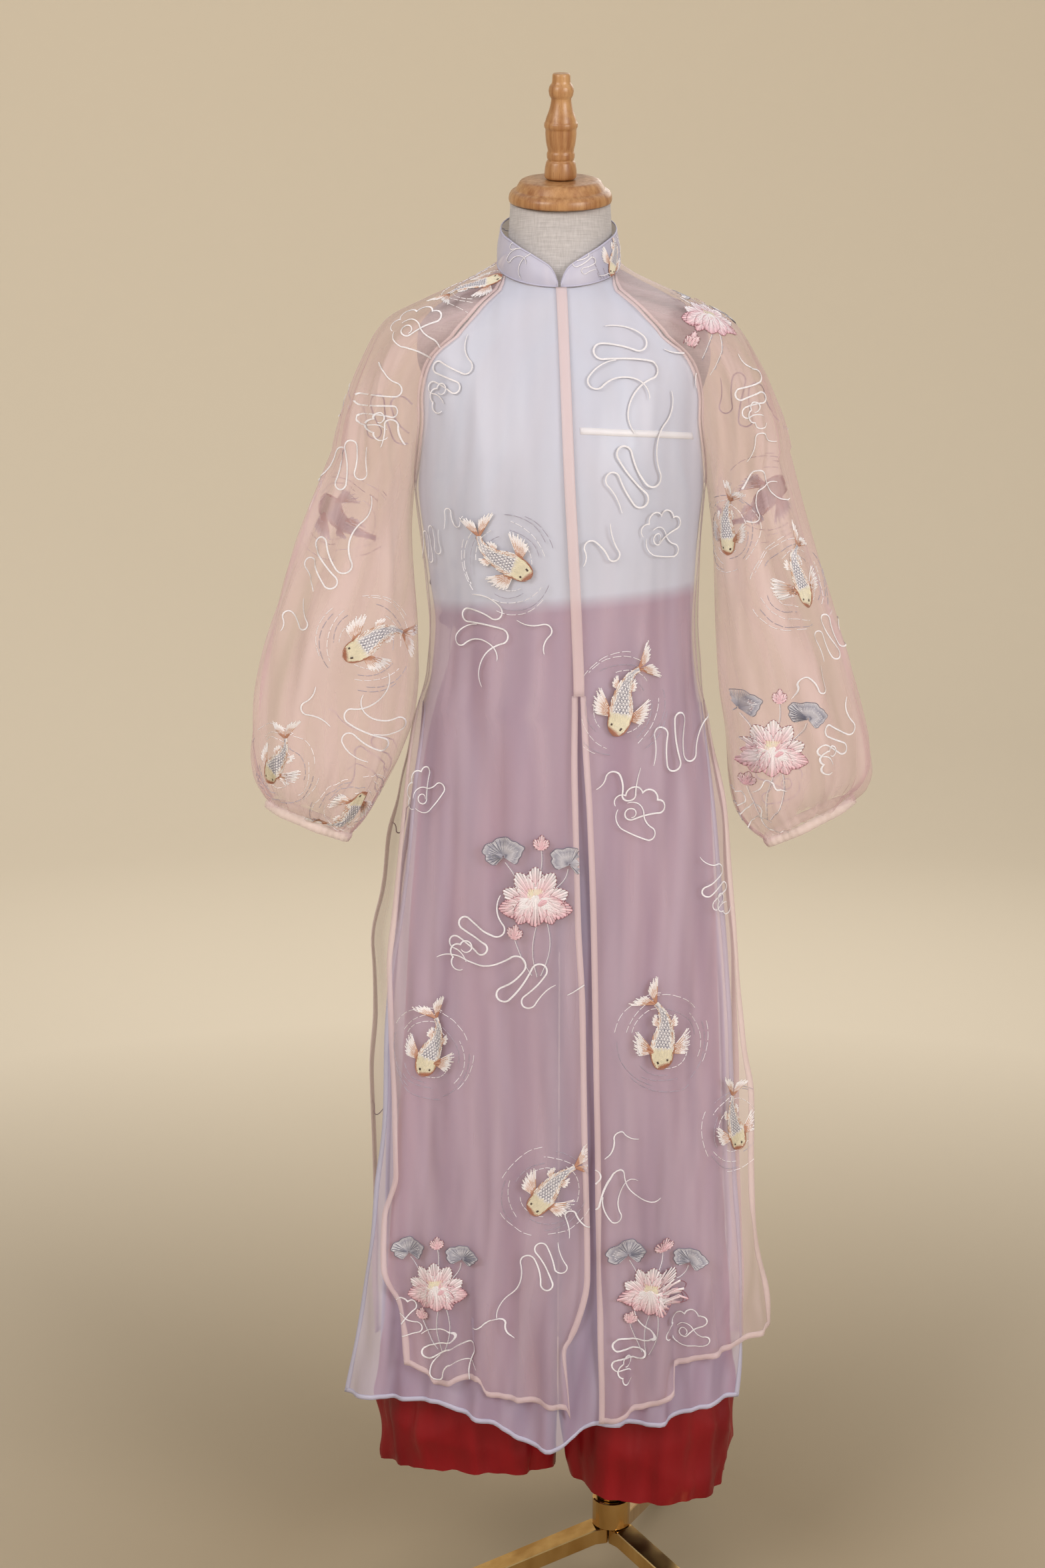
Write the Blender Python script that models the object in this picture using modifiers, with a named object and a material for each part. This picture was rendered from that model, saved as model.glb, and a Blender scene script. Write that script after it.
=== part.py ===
"""An ao dai on a dress form: a sheer outer robe with raglan sleeves, a sheer under robe and wide trousers.

The form is limbless, with a turned wooden neck finial, on a pole and a three-legged base. Metres, +Z up. The front
faces -Y, the wearer's right is -X, and the origin is the middle of the footprint's box, on the floor."""

import math

import bmesh
import bpy
import numpy as np

# Walls and gaps
CLOTH = 0.0012
CUFF_WALL = 0.0018
SEAM = 0.0008
TYPICAL_DEPTH = 0.11
HALF_GAP = 0.5 * SEAM / TYPICAL_DEPTH

# A raglan seam's gap is this much wider at its two ends, where the seam turns.
RAGLAN_SLACK = 3.0
RAGLAN_MIDDLE = 1.60
RAGLAN_HALF = 0.10
EASE_AT_NECK = 0.0020
EASE_AT_HEM = 0.0090

# Heights
NECK = 1.7125
UNDERARM = 1.455
SLIT_TOP = 1.20
CLOSURE_END = 1.226
HEM_BLEND = 0.80
LOWEST_LEVEL = 0.30

# The form leans a little to the wearer's right, so its pole meets the base off the neck's line.
LEAN = 0.046

# Stand
POLE_RADIUS = 0.0190
HUB_RADIUS = 0.0245
HUB_TOP = 0.160
HUB_FOOT = 0.122
HUB_EDGE = 0.0015
LEG_REACH = 0.350
LEG_WIDTH = 0.030
LEG_HEIGHT = 0.021
LEG_FLAT_END = 0.030
LEG_BEVEL = 0.0012
FOOT_INSET = 0.016
FOOT_TAPER = 0.9
LEG_HEADINGS = (194.0, 314.0, 74.0)
FOOT_RADIUS = 0.0125
FOOT_HEIGHT = 0.012
STAND_GAP = 0.0003

NECK_TILT = math.radians(15.0)

HAIR = 1e-4


class Table:
    """Named columns of sizes, read on a smooth curve at any value of the first column."""

    def __init__(self, names, *rows):
        self.names = names.split()
        self.rows = np.array(sorted(rows), float)

    def read(self, name, at):
        x = self.rows[:, 0]
        y = self.rows[:, self.names.index(name)]
        at = np.clip(at, x[0], x[-1])
        i = np.clip(np.searchsorted(x, at) - 1, 0, len(x) - 2)
        step = np.diff(x)
        rise = np.diff(y) / step
        same = rise[:-1] * rise[1:] > 0
        total = np.where(same, rise[:-1] + rise[1:], 1.0)
        inner = np.where(same, 2 * rise[:-1] * rise[1:] / total, 0.0)
        slope = np.concatenate([rise[:1], inner, rise[-1:]])
        t = (at - x[i]) / step[i]
        ends = (1 + 2 * t) * (1 - t) ** 2 * y[i] + t * t * (3 - 2 * t) * y[i + 1]
        return ends + step[i] * t * (1 - t) * ((1 - t) * slope[i] - t * slope[i + 1])


# The under robe's outer face: a ring at each level, lower at the front by its tilt.
BODY = Table(
    "level middle half front back tilt",
    (1.7125, -0.0020, 0.0695, 0.067, 0.061, 0.0275),
    (1.700, -0.0030, 0.0890, 0.073, 0.069, 0.0225),
    (1.685, -0.0030, 0.1230, 0.077, 0.077, 0.0175),
    (1.665, -0.0020, 0.1620, 0.081, 0.084, 0.0125),
    (1.640, -0.0015, 0.1840, 0.087, 0.091, 0.0080),
    (1.610, -0.0010, 0.1890, 0.097, 0.098, 0.0050),
    (1.570, 0.0000, 0.1805, 0.109, 0.103, 0.0020),
    (1.530, 0.0005, 0.1730, 0.119, 0.103, 0.0000),
    (1.490, 0.0010, 0.1695, 0.126, 0.101, 0.0000),
    (1.455, 0.0010, 0.1680, 0.128, 0.099, 0.0000),
    (1.400, 0.0020, 0.1620, 0.127, 0.097, 0.0000),
    (1.350, 0.0040, 0.1570, 0.124, 0.096, 0.0000),
    (1.300, 0.0060, 0.1535, 0.121, 0.097, 0.0000),
    (1.240, 0.0055, 0.1580, 0.120, 0.101, 0.0000),
    (1.200, 0.0040, 0.1660, 0.120, 0.104, 0.0000),
    (1.120, 0.0040, 0.1900, 0.120, 0.110, 0.0000),
    (1.040, 0.0040, 0.2120, 0.120, 0.116, 0.0000),
    (0.950, 0.0030, 0.2300, 0.120, 0.120, 0.0000),
    (0.860, 0.0020, 0.2440, 0.120, 0.123, 0.0000),
    (0.750, 0.0000, 0.2580, 0.120, 0.125, 0.0000),
    (0.660, -0.0010, 0.2680, 0.120, 0.126, 0.0000),
    (0.530, -0.0020, 0.2820, 0.121, 0.128, 0.0000),
    (0.430, -0.0030, 0.2920, 0.122, 0.130, 0.0000),
    (0.280, -0.0040, 0.3020, 0.123, 0.132, 0.0000),
)

# Where the raglan seams run on each ring, in degrees from the front and from the back.
RAGLAN = Table(
    "level front back",
    (1.7125, 64.0, 55.0),
    (1.700, 48.0, 44.0),
    (1.685, 41.0, 38.0),
    (1.665, 37.0, 36.0),
    (1.640, 39.5, 38.0),
    (1.615, 49.0, 46.0),
    (1.590, 56.7, 54.0),
    (1.565, 62.8, 60.0),
    (1.535, 66.5, 65.0),
    (1.505, 73.0, 72.0),
    (1.480, 80.0, 79.5),
    (1.455, 90.0, 90.0),
)

# How far each skirt panel reaches to the side below the slits, as x.
EDGES = Table(
    "level outer_front_right outer_front_left outer_back_right outer_back_left"
    " inner_front_right inner_front_left inner_back_right inner_back_left",
    (1.20, -0.162, 0.170, -0.162, 0.170, -0.162, 0.170, -0.162, 0.170),
    (1.13, -0.174, 0.185, -0.180, 0.185, -0.171, 0.180, -0.172, 0.180),
    (1.04, -0.187, 0.199, -0.203, 0.202, -0.180, 0.190, -0.188, 0.192),
    (0.95, -0.196, 0.207, -0.215, 0.211, -0.193, 0.198, -0.200, 0.200),
    (0.88, -0.202, 0.213, -0.228, 0.217, -0.205, 0.204, -0.206, 0.206),
    (0.80, -0.202, 0.221, -0.228, 0.223, -0.212, 0.210, -0.213, 0.212),
    (0.70, -0.199, 0.234, -0.234, 0.229, -0.215, 0.216, -0.218, 0.218),
    (0.60, -0.197, 0.237, -0.235, 0.233, -0.226, 0.222, -0.222, 0.222),
    (0.53, -0.212, 0.240, -0.236, 0.236, -0.231, 0.227, -0.225, 0.226),
    (0.45, -0.213, 0.250, -0.238, 0.240, -0.244, 0.232, -0.228, 0.230),
    (0.38, -0.196, 0.262, -0.239, 0.243, -0.254, 0.228, -0.230, 0.226),
    (0.30, -0.188, 0.268, -0.240, 0.245, -0.268, 0.225, -0.232, 0.226),
)

# The centre-front edges of the two outer fronts, as x.
CENTRE = Table(
    "level right left",
    (1.7125, 0.0000, 0.0000),
    (1.470, 0.0090, 0.0090),
    (1.400, 0.0130, 0.0130),
    (1.300, 0.0180, 0.0180),
    (1.226, 0.0205, 0.0215),
    (1.160, 0.0200, 0.0245),
    (1.080, 0.0215, 0.0295),
    (0.960, 0.0250, 0.0345),
    (0.850, 0.0310, 0.0370),
    (0.700, 0.0340, 0.0400),
    (0.500, 0.0385, 0.0440),
    (0.430, 0.0250, 0.0460),
    (0.380, 0.0100, 0.0465),
    (0.300, 0.0160, 0.0470),
)

# Hem heights across the front, and across the back.
HEMS = Table(
    "x outer inner outer_back inner_back",
    (-0.275, 0.398, 0.334, 0.350, 0.324),
    (-0.190, 0.396, 0.342, 0.340, 0.330),
    (-0.160, 0.384, 0.345, 0.336, 0.326),
    (-0.149, 0.371, 0.344, 0.334, 0.325),
    (-0.123, 0.379, 0.334, 0.331, 0.322),
    (-0.098, 0.384, 0.326, 0.330, 0.320),
    (-0.084, 0.362, 0.322, 0.332, 0.321),
    (-0.046, 0.358, 0.302, 0.337, 0.323),
    (-0.010, 0.355, 0.292, 0.336, 0.320),
    (0.006, 0.351, 0.294, 0.332, 0.318),
    (0.018, 0.330, 0.303, 0.330, 0.317),
    (0.047, 0.327, 0.322, 0.332, 0.320),
    (0.100, 0.343, 0.318, 0.338, 0.324),
    (0.136, 0.362, 0.322, 0.334, 0.320),
    (0.146, 0.394, 0.325, 0.333, 0.319),
    (0.210, 0.409, 0.339, 0.340, 0.322),
    (0.270, 0.424, 0.342, 0.350, 0.328),
)

# Hanging folds of both robes: a ridge runs from x top to x hem below its start, and stands out by its rise.
FRONT_FOLDS = (
    dict(top=-0.150, hem=-0.238, start=0.95, width=0.020, rise=0.012),
    dict(top=-0.110, hem=-0.160, start=1.05, width=0.018, rise=0.009),
    dict(top=-0.060, hem=-0.098, start=0.90, width=0.015, rise=0.011),
    dict(top=0.000, hem=-0.018, start=0.72, width=0.024, rise=0.016),
    dict(top=0.060, hem=0.062, start=1.10, width=0.017, rise=0.008),
    dict(top=0.085, hem=0.128, start=0.92, width=0.016, rise=0.014),
    dict(top=0.120, hem=0.190, start=1.00, width=0.018, rise=0.010),
    dict(top=0.150, hem=0.238, start=0.80, width=0.014, rise=0.008),
)
BACK_FOLDS = (
    dict(top=-0.120, hem=-0.190, start=1.05, width=0.024, rise=0.015),
    dict(top=-0.060, hem=-0.110, start=0.95, width=0.020, rise=0.013),
    dict(top=-0.015, hem=-0.030, start=1.10, width=0.022, rise=0.016),
    dict(top=0.035, hem=0.050, start=0.90, width=0.019, rise=0.012),
    dict(top=0.075, hem=0.122, start=1.08, width=0.023, rise=0.015),
    dict(top=0.120, hem=0.195, start=0.92, width=0.020, rise=0.012),
)

# Sleeve head: the highest line over the shoulder, from the neck to the underarm's level.
SLEEVE_HEAD = Table(
    "level out z depth",
    (1.7125, 0.0712, 1.7127, 0.034),
    (1.700, 0.098, 1.703, 0.048),
    (1.685, 0.130, 1.689, 0.061),
    (1.665, 0.166, 1.672, 0.070),
    (1.640, 0.199, 1.654, 0.075),
    (1.615, 0.216, 1.634, 0.078),
    (1.590, 0.228, 1.612, 0.079),
    (1.565, 0.240, 1.588, 0.079),
    (1.535, 0.251, 1.560, 0.078),
    (1.505, 0.259, 1.537, 0.075),
    (1.480, 0.264, 1.518, 0.072),
    (1.455, 0.268, 1.500, 0.070),
)

# Sleeve tubes from the underarm (0) to the cuff (1): outer and inner line seen from the front, half depth and y.
SLEEVE_RIGHT = Table(
    "run outer_x outer_z inner_x inner_z depth y",
    (0.00, -0.267, 1.500, -0.1730, 1.4550, 0.070, 0.000),
    (0.14, -0.294, 1.440, -0.1760, 1.4080, 0.067, -0.002),
    (0.30, -0.319, 1.372, -0.1730, 1.3520, 0.066, -0.006),
    (0.46, -0.340, 1.305, -0.1690, 1.2930, 0.069, -0.010),
    (0.60, -0.355, 1.248, -0.1680, 1.2420, 0.073, -0.013),
    (0.72, -0.364, 1.195, -0.1735, 1.1900, 0.074, -0.015),
    (0.82, -0.366, 1.148, -0.1910, 1.1410, 0.070, -0.015),
    (0.90, -0.362, 1.115, -0.2140, 1.0980, 0.060, -0.014),
    (0.96, -0.354, 1.094, -0.2370, 1.0600, 0.043, -0.012),
    (1.00, -0.348, 1.083, -0.2520, 1.0430, 0.024, -0.010),
)
SLEEVE_LEFT = Table(
    "run outer_x outer_z inner_x inner_z depth y",
    (0.00, 0.266, 1.500, 0.1755, 1.4550, 0.070, 0.000),
    (0.14, 0.285, 1.430, 0.1830, 1.3950, 0.067, -0.002),
    (0.30, 0.306, 1.368, 0.1860, 1.3350, 0.066, -0.006),
    (0.46, 0.327, 1.308, 0.1880, 1.2750, 0.069, -0.010),
    (0.60, 0.344, 1.258, 0.1920, 1.2200, 0.073, -0.013),
    (0.72, 0.359, 1.202, 0.2000, 1.1700, 0.074, -0.015),
    (0.82, 0.370, 1.158, 0.2055, 1.1180, 0.070, -0.015),
    (0.90, 0.373, 1.126, 0.2150, 1.0760, 0.060, -0.014),
    (0.96, 0.366, 1.103, 0.2320, 1.0500, 0.043, -0.012),
    (1.00, 0.352, 1.088, 0.2500, 1.0360, 0.024, -0.010),
)
SLEEVE_FOLDS = (
    dict(turn=-2.20, width=0.22, rise=0.0045, start=0.00),
    dict(turn=-1.25, width=0.26, rise=0.0060, start=0.10),
    dict(turn=-0.45, width=0.20, rise=0.0045, start=0.30),
    dict(turn=0.55, width=0.24, rise=0.0050, start=0.15),
    dict(turn=1.50, width=0.26, rise=0.0060, start=0.05),
    dict(turn=2.35, width=0.22, rise=0.0045, start=0.25),
)
SLEEVE_RUNS = (0.0, 0.11, 0.25, 0.41, 0.56, 0.70, 0.82, 0.92, 1.0)
GATHERS = 7
GATHER_RISE = 0.0030
SLEEVE_COLUMNS = GATHERS * 4 + 1
CUFF_HEIGHT = 0.013
CUFF_SWELL = 0.0010

# Trousers: each leg's outer, inner, front and back reach. Above the crotch a leg is open towards the other.
TROUSERS_RIGHT = Table(
    "level outer inner front back open",
    (1.306, -0.1205, 0.0175, 0.099, 0.090, 1.0),
    (1.250, -0.135, 0.0120, 0.104, 0.096, 1.0),
    (1.200, -0.149, 0.0100, 0.106, 0.099, 1.0),
    (1.120, -0.165, 0.0085, 0.104, 0.100, 1.0),
    (1.030, -0.174, 0.0060, 0.100, 0.096, 0.92),
    (0.990, -0.177, 0.0030, 0.097, 0.092, 0.55),
    (0.960, -0.180, 0.0005, 0.095, 0.089, 0.0),
    (0.800, -0.190, 0.0010, 0.090, 0.086, 0.0),
    (0.600, -0.203, 0.0010, 0.088, 0.086, 0.0),
    (0.400, -0.218, 0.0005, 0.087, 0.086, 0.0),
    (0.290, -0.225, 0.0005, 0.087, 0.085, 0.0),
    (0.210, -0.217, -0.0020, 0.080, 0.078, 0.0),
)
TROUSERS_LEFT = Table(
    "level outer inner front back open",
    (1.306, 0.1565, 0.0183, 0.099, 0.090, 1.0),
    (1.250, 0.1590, 0.0128, 0.104, 0.096, 1.0),
    (1.200, 0.1660, 0.0108, 0.106, 0.099, 1.0),
    (1.120, 0.1810, 0.0093, 0.104, 0.100, 1.0),
    (1.030, 0.1880, 0.0068, 0.100, 0.096, 0.92),
    (0.990, 0.1900, 0.0046, 0.097, 0.092, 0.55),
    (0.960, 0.1920, 0.0023, 0.095, 0.089, 0.0),
    (0.800, 0.1990, 0.0027, 0.090, 0.086, 0.0),
    (0.600, 0.2070, 0.0027, 0.088, 0.086, 0.0),
    (0.400, 0.2160, 0.0023, 0.091, 0.086, 0.0),
    (0.290, 0.2230, 0.0023, 0.095, 0.086, 0.0),
    (0.205, 0.2150, 0.0130, 0.090, 0.080, 0.0),
)

# Hems of the trouser legs: the height midway, and how much higher the outer end and the front are.
LEG_HEMS = {
    -1: dict(middle=0.213, outer=0.007, front=0.022),
    1: dict(middle=0.210, outer=-0.005, front=-0.012),
}
LEG_HEM_BLEND = 0.36
LEG_COLUMNS = 23
TROUSER_FOLDS = (
    dict(turn=-2.05, width=0.25, rise=0.0050, start=0.35),
    dict(turn=-1.10, width=0.20, rise=0.0075, start=0.55),
    dict(turn=-0.50, width=0.22, rise=0.0060, start=0.20),
    dict(turn=0.60, width=0.24, rise=0.0060, start=0.40),
    dict(turn=1.40, width=0.22, rise=0.0070, start=0.25),
    dict(turn=2.20, width=0.24, rise=0.0050, start=0.50),
)
TROUSERS_TOP = 1.306
CROTCH = 0.960
LEG_LEVELS = (TROUSERS_TOP, 1.23, 1.12, 1.05, 1.00, CROTCH, 0.82, 0.66, 0.50, LEG_HEM_BLEND, 0.27)
WAISTBAND_HEIGHT = 0.026
WAISTBAND_FOOT = 0.0006
BAND_WALL = 0.0018
BAND_COLUMNS = 41

# Collar: how high it stands at each angle from the front. Its ends round down to a notch.
COLLAR = Table(
    "angle height",
    (1.2, 0.0060),
    (4.0, 0.0150),
    (9.0, 0.0235),
    (16.0, 0.0285),
    (33.0, 0.0360),
    (62.0, 0.0415),
    (180.0, 0.0400),
)
COLLAR_SLOPE = 0.10
COLLAR_BOW = 0.0022
COLLAR_REST = 0.0005
COLLAR_SHARES = (1.0, 0.55, 0.0)
COLLAR_STATIONS = (1.2, 2.6, 4.5, 7.0, 10.0, 16.0, 26.0, 40.0, 58.0, 78.0, 98.0, 118.0, 138.0, 160.0)

PLACKET_HALF_WIDTH = 0.0062
PLACKET_PROUD = CLOTH + 0.0007
PLACKET_LOWERED = 0.16

# The dress form, from its rounded underside to the neck.
FORM = Table(
    "level half front back tilt",
    (1.030, 0.062, 0.045, 0.045, 0.0000),
    (1.036, 0.112, 0.070, 0.072, 0.0000),
    (1.055, 0.138, 0.083, 0.080, 0.0000),
    (1.100, 0.146, 0.090, 0.086, 0.0000),
    (1.160, 0.140, 0.091, 0.085, 0.0000),
    (1.240, 0.132, 0.093, 0.085, 0.0000),
    (1.306, 0.1345, 0.0962, 0.0825, 0.0000),
    (1.334, 0.1348, 0.0962, 0.0825, 0.0000),
    (1.400, 0.141, 0.108, 0.088, 0.0000),
    (1.460, 0.148, 0.119, 0.091, 0.0000),
    (1.520, 0.152, 0.109, 0.094, 0.0000),
    (1.570, 0.162, 0.098, 0.095, 0.0010),
    (1.610, 0.173, 0.088, 0.091, 0.0040),
    (1.640, 0.170, 0.080, 0.085, 0.0080),
    (1.6625, 0.153, 0.0775, 0.0795, 0.0125),
    (1.6825, 0.119, 0.0745, 0.0740, 0.0175),
    (1.6972, 0.086, 0.0705, 0.0657, 0.0225),
    (1.7090, 0.0650, 0.0605, 0.0530, 0.0240),
    (1.750, 0.0600, 0.0535, 0.0495, 0.0170),
    (1.784, 0.0580, 0.0505, 0.0505, 0.0135),
)
NECK_TOP = 1.784
FORM_COLUMNS = 24

# How many flats go round each turned piece
CAP_FLATS = 28
FINIAL_FLATS = 18
POLE_FLATS = 18
HUB_FLATS = 22
FOOT_FLATS = 16

# Turned wood, as radius and height above its own foot, top to bottom down the outer side.
CAP_PROFILE = (
    (0.0000, 0.0260),
    (0.0430, 0.0260),
    (0.0468, 0.0240),
    (0.0508, 0.0172),
    (0.0520, 0.0150),
    (0.0565, 0.0135),
    (0.0592, 0.0095),
    (0.0600, 0.0040),
    (0.0585, 0.0000),
    (0.0000, 0.0000),
)
FINIAL_PROFILE = (
    (0.0000, 0.1170),
    (0.0088, 0.1170),
    (0.0102, 0.1155),
    (0.0104, 0.1065),
    (0.0134, 0.1030),
    (0.0144, 0.0980),
    (0.0134, 0.0925),
    (0.0114, 0.0895),
    (0.0116, 0.0855),
    (0.0136, 0.0765),
    (0.0167, 0.0690),
    (0.0178, 0.0645),
    (0.0192, 0.0622),
    (0.0192, 0.0585),
    (0.0176, 0.0558),
    (0.0179, 0.0505),
    (0.0167, 0.0395),
    (0.0147, 0.0320),
    (0.0160, 0.0292),
    (0.0160, 0.0243),
    (0.0147, 0.0216),
    (0.0167, 0.0194),
    (0.0184, 0.0108),
    (0.0186, 0.0000),
    (0.0000, 0.0000),
)

COLOURS = {
    "pink_organza": ((0.86, 0.70, 0.66, 1.0), 0.55, 0.0),
    "lilac_organza": ((0.76, 0.76, 0.84, 1.0), 0.40, 0.0),
    "red_satin": ((0.42, 0.03, 0.04, 1.0), 0.42, 0.0),
    "form_linen": ((0.66, 0.63, 0.58, 1.0), 0.90, 0.0),
    "turned_wood": ((0.60, 0.36, 0.17, 1.0), 0.35, 0.0),
    "gold_metal": ((0.72, 0.55, 0.24, 1.0), 0.22, 1.0),
    "black_rubber": ((0.03, 0.03, 0.03, 1.0), 0.80, 0.0),
}


def material(name):
    made = bpy.data.materials.get(name)
    if made is None:
        colour, roughness, metallic = COLOURS[name]
        made = bpy.data.materials.new(name)
        made.use_nodes = True
        shader = made.node_tree.nodes["Principled BSDF"]
        shader.inputs["Base Color"].default_value = colour
        shader.inputs["Roughness"].default_value = roughness
        shader.inputs["Metallic"].default_value = metallic
    return made


def new_object(name, mesh, finish, collection):
    mesh.materials.append(material(finish))
    mesh.shade_smooth()
    made = bpy.data.objects.new(name, mesh)
    collection.objects.link(made)
    return made


def smoothstep(value):
    value = np.clip(value, 0.0, 1.0)
    return value * value * (3 - 2 * value)


def unit(vectors):
    return vectors / np.maximum(np.linalg.norm(vectors, axis=-1, keepdims=True), 1e-12)


# Surfaces of the robes


def ring_point(angle, level):
    """A point of the base surface. Angle 0 is the front, +90 the wearer's left and 180 the back."""
    front = BODY.read("front", level)
    back = BODY.read("back", level)
    depth = np.where(np.cos(angle) > 0, front, back)
    x = BODY.read("middle", level) + BODY.read("half", level) * np.sin(angle)
    y = -depth * np.cos(angle)
    z = level - BODY.read("tilt", level) * np.cos(angle)
    return np.stack([x, y, z], axis=-1)


def folds_at(points, folds):
    """How far the hanging folds stand out at these points."""
    out = np.zeros(points.shape[:-1])
    x = points[..., 0]
    z = points[..., 2]
    for fold in folds:
        down = np.clip((fold["start"] - z) / (fold["start"] - LOWEST_LEVEL), 0.0, 1.0)
        at = fold["top"] + (fold["hem"] - fold["top"]) * down
        out += fold["rise"] * smoothstep(down * 1.3) * np.exp(-(((x - at) / fold["width"]) ** 2))
    return out


def normal_of(surface, angle, level):
    """Which way a surface of angle and level faces, from points a hair apart on it."""
    across = surface(angle + HAIR, level) - surface(angle - HAIR, level)
    upward = surface(angle, level + HAIR) - surface(angle, level - HAIR)
    return unit(np.cross(across, upward))


def robe_point(angle, level, ease):
    """The base surface moved out by its folds and by the robe's ease, a function of level."""
    centre = ring_point(angle, level)
    normal = normal_of(ring_point, angle, level)
    folds = np.where(np.cos(angle) > 0, folds_at(centre, FRONT_FOLDS), folds_at(centre, BACK_FOLDS))
    return centre + normal * (ease(level) + folds)[..., None]


def robe_row(angle, level, ease):
    """Points of the robe's outer face, and their normals."""
    normal = normal_of(lambda a, z: robe_point(a, z, ease), angle, level)
    return robe_point(angle, level, ease), normal


def outer_ease(level):
    down = (NECK - level) / (NECK - LOWEST_LEVEL)
    return EASE_AT_NECK + (EASE_AT_HEM - EASE_AT_NECK) * smoothstep(1.6 * down)


def angle_at(x, level):
    """The angle on the ring at this level where the base surface reaches x."""
    share = (x - BODY.read("middle", level)) / BODY.read("half", level)
    return np.arcsin(np.clip(share, -1.0, 1.0))


def side_angle(panel, level):
    """Where a panel ends at its side: at the raglan seam, the side seam, or the slit's free edge."""
    face = "front" if "front" in panel else "back"
    raglan = np.radians(RAGLAN.read(face, level))
    free = np.abs(angle_at(EDGES.read(panel, level), level))
    return np.where(level >= UNDERARM, raglan, np.where(level >= SLIT_TOP, math.pi / 2, free)) - HALF_GAP


def hem_levels(levels, hem):
    """The rows' levels in one column, with those below HEM_BLEND spread down to its hem."""
    share = (HEM_BLEND - hem) / (HEM_BLEND - LOWEST_LEVEL)
    return np.where(levels > HEM_BLEND, levels, HEM_BLEND - (HEM_BLEND - levels) * share)


YOKE_LEVELS = np.array([NECK, 1.697, 1.675, 1.648, 1.615, 1.575, 1.530, 1.490, UNDERARM])
ROBE_LEVELS = np.concatenate(
    [
        YOKE_LEVELS,
        np.array([1.39, 1.32, 1.26, CLOSURE_END, SLIT_TOP, 1.11, 1.01]),
        np.linspace(0.90, LOWEST_LEVEL, 6),
    ]
)


def panel_grid(spans, columns, ease, hem):
    """A panel's rows of points with their normals. spans gives the first and last angle at a level."""
    rows = []
    for level in ROBE_LEVELS:
        low, high = spans(level)
        angles = np.linspace(low, high, columns)
        x = BODY.read("middle", level) + BODY.read("half", level) * np.sin(angles)
        levels = hem_levels(np.full(columns, level), HEMS.read(hem, x))
        rows.append(robe_row(angles, levels, ease))
    return rows


def front_spans(level):
    return -side_angle("inner_front_right", level), side_angle("inner_front_left", level)


def front_right_spans(level):
    edge = angle_at(CENTRE.read("right", level), level) - HALF_GAP
    return -side_angle("outer_front_right", level), edge


def front_left_spans(level):
    edge = angle_at(CENTRE.read("left", level), level) + HALF_GAP
    return edge, side_angle("outer_front_left", level)


def back_spans(robe):
    """Spans of a back panel, from the left edge round the back to the right."""

    def spans(level):
        left = side_angle(robe + "_back_left", level)
        right = side_angle(robe + "_back_right", level)
        return math.pi - left, math.pi + right

    return spans


def cloth(name, rows, finish, collection, wall=CLOTH, joined=()):
    """A closed wall lofted through rows of (points, normals), which are its outer face.

    In a joined row the last point is the first."""
    mesh = bmesh.new()
    outer = []
    inner = []
    for r, (points, normals) in enumerate(rows):
        for face, line in ((outer, points), (inner, points - wall * normals)):
            verts = [mesh.verts.new(p) for p in line[:-1]]
            verts.append(verts[0] if r in joined else mesh.verts.new(line[-1]))
            face.append(verts)
    columns = len(outer[0])
    for r in range(len(rows) - 1):
        for c in range(columns - 1):
            mesh.faces.new((outer[r][c], outer[r + 1][c], outer[r + 1][c + 1], outer[r][c + 1]))
            mesh.faces.new((inner[r][c], inner[r][c + 1], inner[r + 1][c + 1], inner[r + 1][c]))
        if r not in joined or r + 1 not in joined:
            mesh.faces.new((outer[r][0], inner[r][0], inner[r + 1][0], outer[r + 1][0]))
            mesh.faces.new((outer[r][-1], outer[r + 1][-1], inner[r + 1][-1], inner[r][-1]))
    for c in range(columns - 1):
        mesh.faces.new((outer[0][c], outer[0][c + 1], inner[0][c + 1], inner[0][c]))
        mesh.faces.new((outer[-1][c], inner[-1][c], inner[-1][c + 1], outer[-1][c + 1]))
    made = bpy.data.meshes.new(name)
    mesh.to_mesh(made)
    mesh.free()
    return new_object(name, made, finish, collection)


def grid_normals(lines, joined):
    """Normals of rows of points from their neighbours in the grid. A joined row goes on past its ends."""
    grid = np.array(lines)
    across = np.gradient(grid, axis=1)
    for r in joined:
        across[r, 0] = across[r, -1] = (grid[r, 1] - grid[r, -2]) / 2
    return unit(np.cross(across, -np.gradient(grid, axis=0)))


# Loops of the sleeves and legs


def fold_wave(folds, run, columns):
    """How far a loop's folds stand out along it, from -pi at its front end to pi at its back end."""
    turn = np.linspace(-math.pi, math.pi, columns)
    wave = np.zeros(columns)
    for fold in folds:
        grown = smoothstep((run - fold["start"]) / 0.4)
        wave += grown * fold["rise"] * np.exp(-(((turn - fold["turn"]) / fold["width"]) ** 2))
    return wave


def loop_line(front, back, outer, depth, columns, wave=0.0):
    """A line of cloth from a front point round an outer point to a back point, closed where those two are one."""
    middle = (front + back) / 2
    reach = np.linalg.norm(outer - middle)
    out = (outer - middle) / reach
    gap = (back[1] - front[1]) / 2
    depth = max(depth, gap * 1.001)
    end = math.pi - math.asin(min(1.0, gap / depth))
    turn = np.linspace(-end, end, columns)
    long_half = reach / (1 - math.cos(end))
    centre = outer - long_half * out
    side = np.array([0.0, 1.0, 0.0])
    away = np.outer(np.cos(turn), out) + np.outer(np.sin(turn), side)
    flat = np.outer(np.cos(turn), out * long_half) + np.outer(np.sin(turn), side * depth)
    miss = (front - back) / 2 + gap * side
    return centre + flat + away * np.reshape(wave, (-1, 1)) + np.outer(-turn / end, miss)


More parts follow.
